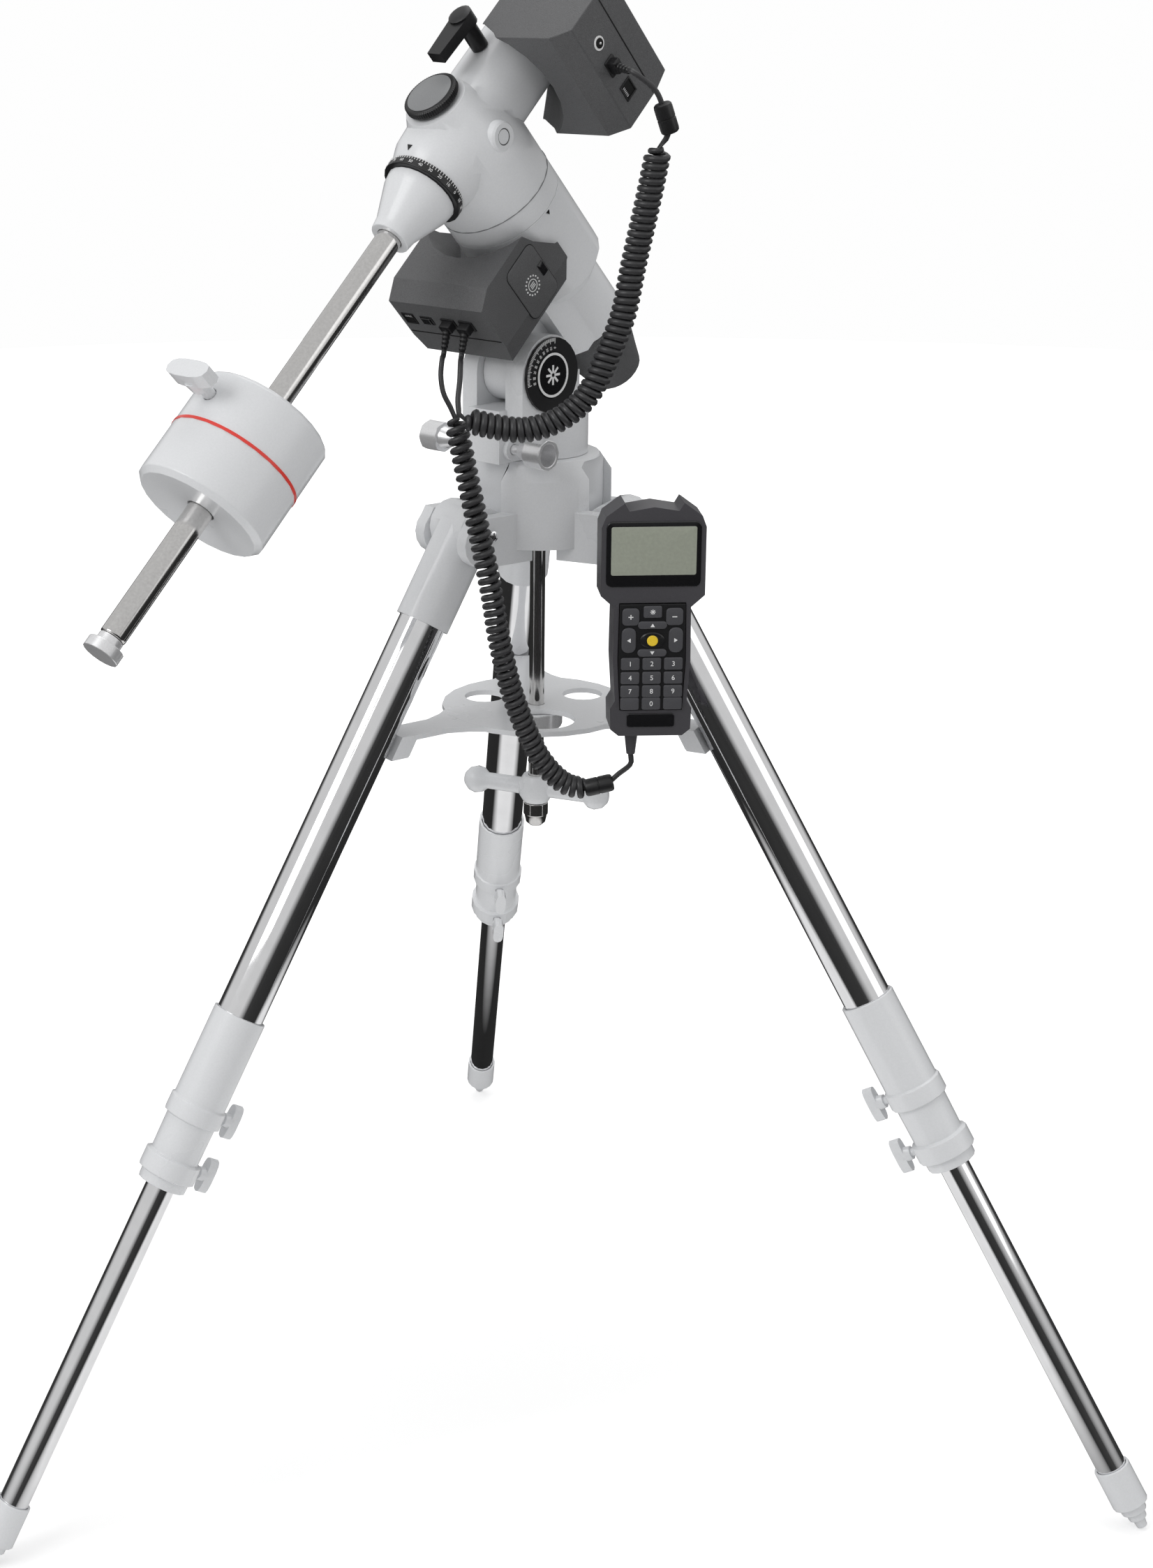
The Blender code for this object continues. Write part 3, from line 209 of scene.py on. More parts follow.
class Paintshop:
    """Makes the shared surface group and one material for each finish."""

    def __init__(self) -> None:
        """Builds the shared group, ready for any material."""
        self.grain = self._grain_group()
        self.made: dict[Finish, bpy.types.Material] = {}

    @staticmethod
    def _grain_group() -> bpy.types.NodeTree:
        """Makes the group that every finish shares.

        Returns:
            A group that takes Colour, Size, Mottle, Low and High, and puts out a varied Colour, a varied
            Roughness and a Height: fine noise for the grain, and slow noise for handling marks.
        """
        group = bpy.data.node_groups.new("surface_grain", "ShaderNodeTree")
        face = group.interface
        face.new_socket("Vector", in_out="INPUT", socket_type="NodeSocketVector")
        face.new_socket("Colour", in_out="INPUT", socket_type="NodeSocketColor")
        for name in ("Size", "Mottle", "Low", "High"):
            face.new_socket(name, in_out="INPUT", socket_type="NodeSocketFloat")
        face.new_socket("Colour", in_out="OUTPUT", socket_type="NodeSocketColor")
        face.new_socket("Roughness", in_out="OUTPUT", socket_type="NodeSocketFloat")
        face.new_socket("Height", in_out="OUTPUT", socket_type="NodeSocketFloat")
        nodes, links = group.nodes, group.links
        inside, outside = nodes.new("NodeGroupInput"), nodes.new("NodeGroupOutput")
        fine, slow = nodes.new("ShaderNodeTexNoise"), nodes.new("ShaderNodeTexNoise")
        fine.inputs["Detail"].default_value = 3.0
        slow.inputs["Scale"].default_value = 14.0
        slow.inputs["Detail"].default_value = 5.0
        links.new(inside.outputs["Vector"], fine.inputs["Vector"])
        links.new(inside.outputs["Vector"], slow.inputs["Vector"])
        links.new(inside.outputs["Size"], fine.inputs["Scale"])
        span = nodes.new("ShaderNodeMapRange")
        links.new(slow.outputs["Fac"], span.inputs["Value"])
        span.inputs["From Min"].default_value, span.inputs["From Max"].default_value = 0.3, 0.7
        links.new(inside.outputs["Low"], span.inputs["To Min"])
        links.new(inside.outputs["High"], span.inputs["To Max"])
        shade = nodes.new("ShaderNodeMapRange")
        links.new(fine.outputs["Fac"], shade.inputs["Value"])
        shade.inputs["From Min"].default_value, shade.inputs["From Max"].default_value = 0.3, 0.7
        less = nodes.new("ShaderNodeMath")
        less.operation = "SUBTRACT"
        less.inputs[0].default_value = 1.0
        links.new(inside.outputs["Mottle"], less.inputs[1])
        links.new(less.outputs[0], shade.inputs["To Min"])
        more = nodes.new("ShaderNodeMath")
        more.operation = "ADD"
        more.inputs[0].default_value = 1.0
        links.new(inside.outputs["Mottle"], more.inputs[1])
        links.new(more.outputs[0], shade.inputs["To Max"])
        tint = nodes.new("ShaderNodeVectorMath")
        tint.operation = "SCALE"
        links.new(inside.outputs["Colour"], tint.inputs[0])
        links.new(shade.outputs["Result"], tint.inputs["Scale"])
        links.new(tint.outputs["Vector"], outside.inputs["Colour"])
        links.new(span.outputs["Result"], outside.inputs["Roughness"])
        links.new(fine.outputs["Fac"], outside.inputs["Height"])
        return group

    def material(self, finish: Finish) -> bpy.types.Material:
        """Makes a finish's material, once.

        Args:
            finish: the finish.

        Returns:
            Its material.
        """
        if finish in self.made:
            return self.made[finish]
        recipe = RECIPES[finish]
        made = bpy.data.materials.new(finish.value)
        made.use_nodes = True
        nodes, links = made.node_tree.nodes, made.node_tree.links
        shader = nodes["Principled BSDF"]
        shader.inputs["Metallic"].default_value = recipe.metallic
        shader.inputs["Coat Weight"].default_value = recipe.coat
        shader.inputs["Coat Roughness"].default_value = 0.12
        where, turn = nodes.new("ShaderNodeTexCoord"), nodes.new("ShaderNodeMapping")
        turn.inputs["Scale"].default_value = recipe.stretch
        links.new(where.outputs["Object"], turn.inputs["Vector"])
        grain = nodes.new("ShaderNodeGroup")
        grain.node_tree = self.grain
        links.new(turn.outputs["Vector"], grain.inputs["Vector"])
        grain.inputs["Colour"].default_value = (*recipe.colour, 1.0)
        grain.inputs["Size"].default_value = recipe.grain[0]
        grain.inputs["Mottle"].default_value = recipe.mottle
        grain.inputs["Low"].default_value, grain.inputs["High"].default_value = recipe.roughness
        links.new(grain.outputs["Colour"], shader.inputs["Base Color"])
        links.new(grain.outputs["Roughness"], shader.inputs["Roughness"])
        bump = nodes.new("ShaderNodeBump")
        bump.inputs["Strength"].default_value = 1.0
        bump.inputs["Distance"].default_value = recipe.grain[1]
        links.new(grain.outputs["Height"], bump.inputs["Height"])
        links.new(bump.outputs["Normal"], shader.inputs["Normal"])
        self.made[finish] = made
        return made


# Shapes ----------------------------------------------------------------------------------
@dataclass
class Shape:
    """A closed surface as arrays: points (n, 3), quads (m, 4) and triangles (k, 3)."""

    points: np.ndarray
    quads: np.ndarray
    tris: np.ndarray = field(default_factory=lambda: np.empty((0, 3), int))

    def moved(self, matrix: Matrix) -> "Shape":
        """The same surface, moved by a matrix."""
        m = np.array(matrix)
        return Shape(self.points @ m[:3, :3].T + m[:3, 3], self.quads, self.tris)

    @staticmethod
    def joined(shapes: Sequence["Shape"]) -> "Shape":
        """Several surfaces as one, in order."""
        starts = np.cumsum([0] + [len(s.points) for s in shapes[:-1]])
        return Shape(
            np.concatenate([s.points for s in shapes]),
            np.concatenate([s.quads + start for s, start in zip(shapes, starts)]),
            np.concatenate([s.tris + start for s, start in zip(shapes, starts)]),
        )


def rings(rows: np.ndarray) -> Shape:
    """Joins closed rings into a surface, and closes its two ends with a fan.

    Args:
        rows: an array (rings, points round, 3), each ring anticlockwise about the way the rings go.

    Returns:
        The closed surface. Point (i, j) is joined to (i, j + 1) and (i + 1, j).
    """
    count, around = rows.shape[:2]
    i, j = np.meshgrid(np.arange(count - 1), np.arange(around), indexing="ij")
    k = (j + 1) % around
    quads = np.stack(
        [i * around + j, i * around + k, (i + 1) * around + k, (i + 1) * around + j], -1
    ).reshape(-1, 4)
    low, high = count * around, count * around + 1
    j = np.arange(around)
    k = (j + 1) % around
    last = (count - 1) * around
    bottom = np.stack([np.full(around, low), k, j], -1)
    top = np.stack([np.full(around, high), last + j, last + k], -1)
    points = np.concatenate([rows.reshape(-1, 3), rows[0].mean(0)[None], rows[-1].mean(0)[None]])
    return Shape(points, quads, np.concatenate([bottom, top]))


def lathe(
    profile: Sequence[tuple[float, float]], sides: int = 64, flutes: int = 0, depth: float = 0.0
) -> Shape:
    """Turns a profile about local Z: point (t, a) is (r(t) cos a, r(t) sin a, z(t)).

    Args:
        profile: (radius, height) pairs from bottom to top.
        sides: how many points round.
        flutes: how many grooves round the rim.
        depth: how deep they are. The radius is then r (1 - depth (1 + cos(flutes a)) / 2r).

    Returns:
        The closed surface.
    """
    radius, height = np.array(profile, float).T
    angle = np.arange(sides) * 2 * np.pi / sides
    spread = radius[:, None] * np.ones(sides)
    if flutes:
        spread = np.maximum(spread - depth * (1 + np.cos(flutes * angle)) / 2, 0.0)
    rows = np.stack(
        [spread * np.cos(angle), spread * np.sin(angle), np.broadcast_to(height[:, None], spread.shape)], -1
    )
    return rings(rows)


def rounded_rectangle(width: float, height: float, corner: float, steps: int = 5) -> np.ndarray:
    """A rounded rectangle about the origin, anticlockwise: four quarter circles of the corner's radius."""
    turn = np.linspace(0, np.pi / 2, steps)
    quarters = [
        np.stack(
            [sx * 0 + np.cos(turn + start), np.sin(turn + start)], -1
        ) * corner + np.array([sx * (width / 2 - corner), sy * (height / 2 - corner)]) for start,
        sx, sy in ((0, 1, 1), (np.pi / 2, -1, 1), (np.pi, -1, -1), (3 * np.pi / 2, 1, -1))
    ]
    return np.concatenate(quarters)


def pillow(
    width: float, height: float, corner: float, low: float, high: float, round_over: float = 0.0004
) -> Shape:
    """A flat plate with a rounded outline, whose upper rim rolls over.

    Args:
        width: its size along local X.
        height: its size along local Y.
        corner: the radius of its corners.
        low: its lowest height.
        high: its highest height.
        round_over: the radius of the rim.

    Returns:
        The closed surface. Ring t is the outline inset by r (1 - cos t), at height high - r (1 - sin t).
    """
    turn = np.linspace(0, np.pi / 2, 4)
    levels = [(low, 0.0)] + [
        (high - round_over * (1 - math.sin(t)), round_over * (1 - math.cos(t))) for t in turn
    ]
    rows = []
    for z, inset in levels:
        ring = rounded_rectangle(width - 2 * inset, height - 2 * inset, max(corner - inset, 0.00005))
        rows.append(np.concatenate([ring, np.full((len(ring), 1), z)], axis=1))
    return rings(np.array(rows))


def bar(size: Sequence[float], centre: Sequence[float]) -> Shape:
    """A small square-cut bar: its eight corners are the centre plus or minus half the size."""
    return pillow(
        size[0], size[1], 0.00008, -size[2] / 2, size[2] / 2, 0.00006
    ).moved(Matrix.Translation(Vector(centre)))


class Workshop:
    """Puts surfaces into the scene as pieces that ride on the frame."""

    def __init__(self, paint: Paintshop) -> None:
        """Keeps the paintshop that its pieces are finished in."""
        self.paint = paint

    def piece(
        self, name: str, shape: Shape, finish: Finish, body: str, matrix: Optional[Matrix] = None,
        stands_for: Sequence[str] = (), sharp: float = 35.0
    ) -> bpy.types.Object:
        """Makes one piece.

        Args:
            name: the piece's name.
            shape: its surface.
            finish: its finish.
            body: the CAD body that it rides on.
            matrix: where the surface goes, if it isn't there already.
            stands_for: CAD nodes that it replaces.
            sharp: the angle in degrees past which an edge stays sharp.

        Returns:
            The object.
        """
        if matrix is not None:
            shape = shape.moved(matrix)
        mesh = bpy.data.meshes.new(name)
        mesh.from_pydata(shape.points.tolist(), [], shape.quads.tolist() + shape.tris.tolist())
        mesh.shade_smooth()
        mesh.set_sharp_from_angle(angle=math.radians(sharp))
        made = bpy.data.objects.new(name, mesh)
        bpy.context.scene.collection.objects.link(made)
        mesh.materials.append(self.paint.material(finish))
        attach(made, body)
        if stands_for:
            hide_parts(*stands_for)
        LOG.info("%s: %d faces, %s, on %s", name, len(mesh.polygons), finish.value, body)
        return made

    def text(
        self, name: str, words: str, size: float, place: Matrix, finish: Finish, body: str
    ) -> bpy.types.Object:
        """Prints a number as a thin raised mesh.

        Args:
            name: the piece's name.
            words: the number.
            size: its height.
            place: where its middle goes, with local Z out of the surface.
            finish: its finish.
            body: the CAD body that it rides on.

        Returns:
            The object.
        """
        font = bpy.data.curves.new(name, "FONT")
        font.body, font.size, font.align_x, font.align_y = words, size, "CENTER", "CENTER"
        font.extrude, font.resolution_u = 0.0001, 3
        holder = bpy.data.objects.new(name + "_font", font)
        bpy.context.scene.collection.objects.link(holder)
        bpy.context.view_layer.update()
        mesh = bpy.data.meshes.new_from_object(holder.evaluated_get(bpy.context.evaluated_depsgraph_get()))
        bpy.data.objects.remove(holder, do_unlink=True)
        mesh.transform(place)
        mesh.materials.clear()
        mesh.materials.append(self.paint.material(finish))
        made = bpy.data.objects.new(name, mesh)
        bpy.context.scene.collection.objects.link(made)
        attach(made, body)
        return made

    def refined(self, node: str, body: str, finish: Finish, edge: float = 0.0005) -> bpy.types.Object:
        """Shows a CAD node as a smooth copy with broken edges.

        Args:
            node: the CAD node.
            body: the body that it is part of.
            finish: its finish.
            edge: the width of its broken edges.

        Returns:
            The object. Loose triangles are merged, flat ones become one face, and the edges are rounded.
        """
        source = frame["nodes"][node]
        work = bmesh.new()
        work.from_mesh(source.data)
        bmesh.ops.remove_doubles(work, verts=work.verts, dist=0.000004)
        bmesh.ops.dissolve_limit(work, angle_limit=math.radians(0.6), verts=work.verts, edges=work.edges)
        mesh = bpy.data.meshes.new(node + "_skin")
        work.to_mesh(mesh)
        work.free()
        mesh.shade_smooth()
        mesh.set_sharp_from_angle(angle=math.radians(40))
        made = bpy.data.objects.new(node + "_skin", mesh)
        bpy.context.scene.collection.objects.link(made)
        mesh.materials.append(self.paint.material(finish))
        bevel = made.modifiers.new("broken_edges", "BEVEL")
        bevel.width, bevel.segments = edge, 2
        bevel.limit_method, bevel.angle_limit = "ANGLE", math.radians(40)
        bevel.use_clamp_overlap = True
        bevel.harden_normals = False
        made.modifiers.new("even_shading", "WEIGHTED_NORMAL").keep_sharp = True
        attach(made, body)
        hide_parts(node)
        return made


# Castings, tubes and knobs ------------------------------------------------------------------
@dataclass
class Castings:
    """Every hard CAD node, shown in its own finish."""

    shop: Workshop
    edges: dict[str, float] = field(
        default_factory=lambda: {
            "tripod_hub": 0.0009, "spreader_tray": 0.0011, "azimuth_base": 0.0008, "ra_housing": 0.0009,
            "dec_head": 0.0010, "ra_motor_case": 0.0013, "dec_motor_case": 0.0013, "handset_case": 0.0016,
            "counterweight": 0.0011, "handset_keypad": 0.0003, "latitude_scale": 0.0003,
        }
    )
    special: dict[str, Finish] = field(
        default_factory=lambda: {
            "spreader_rod": Finish.STEEL, "tray_nut": Finish.SILVER, "latitude_bolt": Finish.STEEL,
            "handset_case": Finish.HANDSET, "handset_keypad": Finish.SATIN_BLACK,
        }
    )

    def build(self) -> None:
        """Shows each hard node as a refined copy."""
        slots = {entry["node"]: entry["material_slot"] for entry in frame["record"]["subparts"]}
        for body, nodes in frame["record"]["behaviour"]["bodies"].items():
            for node in nodes:
                if "_cord_" in node:
                    continue
                finish = self.special.get(node, CAD_FINISHES[slots[node]])
                self.shop.refined(node, body, finish, self.edges.get(node, 0.0005))


# Cords ---------------------------------------------------------------------------------------
def smooth_line(route: Sequence[Sequence[float]], step: float) -> np.ndarray:
    """A Catmull-Rom line through the route's points, at even steps.

    Args:
        route: the points.
        step: the distance between the points of the line.

    Returns:
        The line's points.
    """
    p = np.array(route, float)
    p = np.concatenate([[2 * p[0] - p[1]], p, [2 * p[-1] - p[-2]]])
    t = np.linspace(0, 1, 40, endpoint=False)[:, None]
    a, b, c, d = p[:-3, None], p[1:-2, None], p[2:-1, None], p[3:, None]
    line = 0.5 * (2 * b + (c - a) * t + (2 * a - 5 * b + 4 * c - d) * t**2 + (3 * b - a - 3 * c + d) * t**3)
    line = np.concatenate([line.reshape(-1, 3), p[-2][None]])
    along = np.concatenate([[0], np.cumsum(np.linalg.norm(np.diff(line, axis=0), axis=1))])
    even = np.linspace(0, along[-1], max(2, int(round(along[-1] / step)) + 1))
    return np.stack([np.interp(even, along, line[:, k]) for k in range(3)], -1)


def line_length(line: np.ndarray) -> float:
    """The length of a line of points."""
    return float(np.linalg.norm(np.diff(line, axis=0), axis=1).sum())


@dataclass
class CurlyCord:
    """A cord with a curly middle: a straight lead, a close helix and a straight tail, all one length."""

    shop: Workshop
    name: str
    body: str
    head: Sequence[Sequence[float]]
    coil: Sequence[Sequence[float]]
    tail: Sequence[Sequence[float]]
    nodes: Sequence[str]
    outer: float
    pitch: Callable[[np.ndarray], np.ndarray]
    diameter: float = 0.0052
    straight: float = 0.78  # how thick the straight stretches are, as a share of the diameter
    steps_per_turn: int = 14

    def line(self) -> tuple[np.ndarray, np.ndarray]:
        """Works out the cord's middle.

        Returns:
            Its points, and its thickness at each as a share of the diameter. Along the coil the middle is
            c(s) + r (cos f n + sin f b), where n and b are square to the coil's own line, f is the
            integral of 2 pi / pitch, and r grows from nothing over the first and last turn.
        """
        axis = smooth_line(self.coil, 0.0003)
        s = np.concatenate([[0], np.cumsum(np.linalg.norm(np.diff(axis, axis=0), axis=1))])
        share = s / s[-1]
        turn = np.concatenate([[0], np.cumsum(np.diff(s) * 2 * np.pi / self.pitch(share)[1:])])
        steps = int(turn[-1] / (2 * np.pi) * self.steps_per_turn)
        even = np.linspace(0, turn[-1], steps)
        centre = np.stack([np.interp(even, turn, axis[:, k]) for k in range(3)], -1)
        tangent = np.gradient(centre, axis=0)
        tangent /= np.linalg.norm(tangent, axis=1)[:, None]
        facing = np.array([-math.sin(VIEW_TURN), math.cos(VIEW_TURN), 0.0])
        n = np.cross(tangent, facing)
        n /= np.linalg.norm(n, axis=1)[:, None]
        b = np.cross(tangent, n)
        ends = np.clip(np.minimum(even, turn[-1] - even) / (2 * np.pi), 0, 1)
        r = (self.outer - self.diameter / 2) * np.sqrt(ends)
        helix = centre + r[:, None] * (np.cos(even)[:, None] * n + np.sin(even)[:, None] * b)
        head, tail = smooth_line(self.head, 0.003), smooth_line(self.tail, 0.003)
        thick = np.concatenate(
            [
                np.full(len(head), self.straight), self.straight + (1 - self.straight) * ends,
                np.full(len(tail), self.straight)
            ]
        )
        return np.concatenate([head, helix, tail]), thick

    def build(self, with_pieces: Sequence[object]) -> None:
        """Args:
            with_pieces: the plugs and the ferrite on it; not used.
        """
        line, thick = self.line()
        curve = bpy.data.curves.new(self.name, "CURVE")
        curve.dimensions = "3D"
        spline = curve.splines.new("POLY")
        spline.points.add(len(line) - 1)
        spline.points.foreach_set("co", np.concatenate([line, np.ones((len(line), 1))], axis=1).ravel())
        spline.points.foreach_set("radius", thick)
        curve.bevel_depth, curve.bevel_resolution, curve.use_fill_caps = self.diameter / 2, 2, True
        curve.materials.append(self.shop.paint.material(Finish.CORD))
        made = bpy.data.objects.new(self.name, curve)
        bpy.context.scene.collection.objects.link(made)
        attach(made, self.body)
        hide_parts(*self.nodes)
        LOG.info("%s: %.2f m of cord", self.name, line_length(line))


def shifted(points: Sequence[Sequence[float]]) -> list[Vector]:
    """Points given above the tripod's axis, moved into the frame."""
    return [SHIFT + Vector(p) for p in points]


@dataclass
class Cords:
    """The declination cord, the handset cord, their plugs and their ferrites."""

    shop: Workshop

    def plug(
        self, node: str, body: str, origin: Vector, axis: Vector, hint: Vector, bend: Vector
    ) -> tuple[bpy.types.Object, Vector]:
        """Makes a moulded plug with a ribbed boot.

        Args:
            node: the CAD node that it stands for.
            body: the body that it rides on.
            origin: the middle of the port's face there.
            axis: the way out of the port.
            hint: the plug's wide direction.
            bend: the way the boot leaves.

        Returns:
            The piece and the point where the cord leaves its boot.
        """
        bend = bend.normalized()
        elbow = origin + axis * 0.0035
        grips = pillow(0.0104, 0.0074, 0.0012, 0.0003, 0.0068, 0.0006).moved(place_at(origin, axis, hint))
        z = np.linspace(0.0, 0.0160, 33)
        ribs = 0.0035 - z * 0.055 - 0.00045 * (0.5 + 0.5 * np.cos(z / 0.0160 * 2 * np.pi * 5))
        boot = lathe(
            [(0.0, 0.0)] + list(zip(ribs, z)) + [(0.0, 0.0162)], 24
        ).moved(place_at(elbow, bend, hint))
        made = self.shop.piece(
            node + "_moulding", Shape.joined([grips, boot]), Finish.SATIN_BLACK, body, stands_for=[node]
        )
        return made, elbow + bend * 0.0159

    def ferrite(self, name: str, body: str, centre: Vector, along: Vector) -> bpy.types.Object:
        """A clip-on ferrite: a stout lozenge of 13 by 22 mm with a parting line round its middle."""
        profile = [
            (0.0030, -0.0110), (0.0052, -0.0108), (0.0063, -0.0098), (0.0066, -0.0080), (0.0066, -0.0006),
            (0.0062, -0.0003), (0.0062, 0.0003), (0.0066, 0.0006), (0.0066, 0.0080), (0.0063, 0.0098),
            (0.0052, 0.0108), (0.0030, 0.0110)
        ]
        return self.shop.piece(
            name, lathe(profile, 40), Finish.SATIN_BLACK, body, place_at(centre, along, Z)
        )

    def build(self) -> None:
        """Makes both cords with what is on them."""
        dec_port = CROSSING + POLAR * 0.0017 + DEC * 0.0727 + X * CASE_REACH
        port = CROSSING - POLAR * 0.0905 - DEC * CASE_REACH
        hang = -DEC * 0.35 - Z
        dec_plug, dec_start = self.plug(
            "dec_cord_plug", "ra_head", dec_port, X, POLAR, X * 0.87 - DEC * 0.25
        )
        ra_plug, ra_start = self.plug("dec_cord_ra_plug", "altitude", port + X * 0.0181, -DEC, X, hang)
        hand_plug, hand_start = self.plug("hand_cord_plug", "altitude", port, -DEC, X, hang)
        lead = shifted(
            (
                (0.1334, -0.0302, 1.0693), (0.1376, -0.0254, 1.0563), (0.1395, -0.0209, 1.0429),
                (0.1365, -0.0207, 1.0350)
            )
        )
        coil = shifted(
            (
                (0.1320, -0.0227, 1.0287), (0.1254, -0.0251, 0.9932), (0.1173, -0.0302, 0.9473),
                (0.1132, -0.0358, 0.9116), (0.1069, -0.0454, 0.8819), (0.1005, -0.0557, 0.8571),
                (0.0924, -0.0660, 0.8433), (0.0820, -0.0783, 0.8339), (0.0694, -0.0927, 0.8297),
                (0.0564, -0.1067, 0.8320), (0.0413, -0.1229, 0.8374),
            )
        )
        tail = shifted(
            (
                (0.0377, -0.1268, 0.8420), (0.0345, -0.1245, 0.8520), (0.0305, -0.1185, 0.8640),
                (0.0259, -0.1130, 0.8760)
            )
        )
        ferrite = self.ferrite("dec_cord_ferrite", "ra_head", (lead[1] + lead[2]) / 2, lead[2] - lead[1])
        CurlyCord(
            self.shop, "dec_curly_cord", "ra_head",
            [dec_start, dec_start + (X * 0.87 - DEC * 0.25).normalized() * 0.005] + lead, coil,
            tail + [ra_start + hang.normalized() * 0.005, ra_start],
            ("dec_cord_lead", "dec_cord_coil", "dec_cord_tail"), 0.0097,
            lambda share: np.full_like(share, 0.0054),
        ).build([dec_plug, ra_plug, ferrite])
        tail = shifted(
            (
                (0.0062, -0.1120, 0.8765), (0.0088, -0.1160, 0.8650), (0.0125, -0.1170, 0.8530),
                (0.0170, -0.1145, 0.8430)
            )
        )
        coil = shifted(
            (
                (0.0196, -0.1124, 0.8353), (0.0264, -0.1110, 0.8073), (0.0345, -0.1095, 0.7752),
                (0.0438, -0.1081, 0.7396), (0.0505, -0.1051, 0.7050), (0.0557, -0.1016, 0.6678),
                (0.0623, -0.0945, 0.6280), (0.0725, -0.0836, 0.5895), (0.0791, -0.0764, 0.5729),
                (0.0870, -0.0680, 0.5609), (0.0942, -0.0603, 0.5558), (0.1008, -0.0532, 0.5557),
            )
        )
        lead = shifted(((0.1025, -0.0514, 0.5555), (0.1111, -0.0432, 0.5585), (0.1174, -0.0374, 0.5660)))
        grip = HANDSET_CENTRE + Z.cross(HANDSET_FACING) * -0.0123 - Z * 0.1071
        ferrite = self.ferrite("hand_cord_ferrite", "handset", (lead[0] + lead[1]) / 2, lead[1] - lead[0])
        CurlyCord(
            self.shop, "hand_curly_cord", "altitude",
            [hand_start, hand_start + hang.normalized() * 0.005] + tail, coil,
            lead + [grip - Z * 0.008, grip], ("hand_cord_tail", "hand_cord_coil", "hand_cord_lead"), 0.0089,
            lambda share: 0.0070 - 0.0018 * share,
        ).build([hand_plug, ferrite])


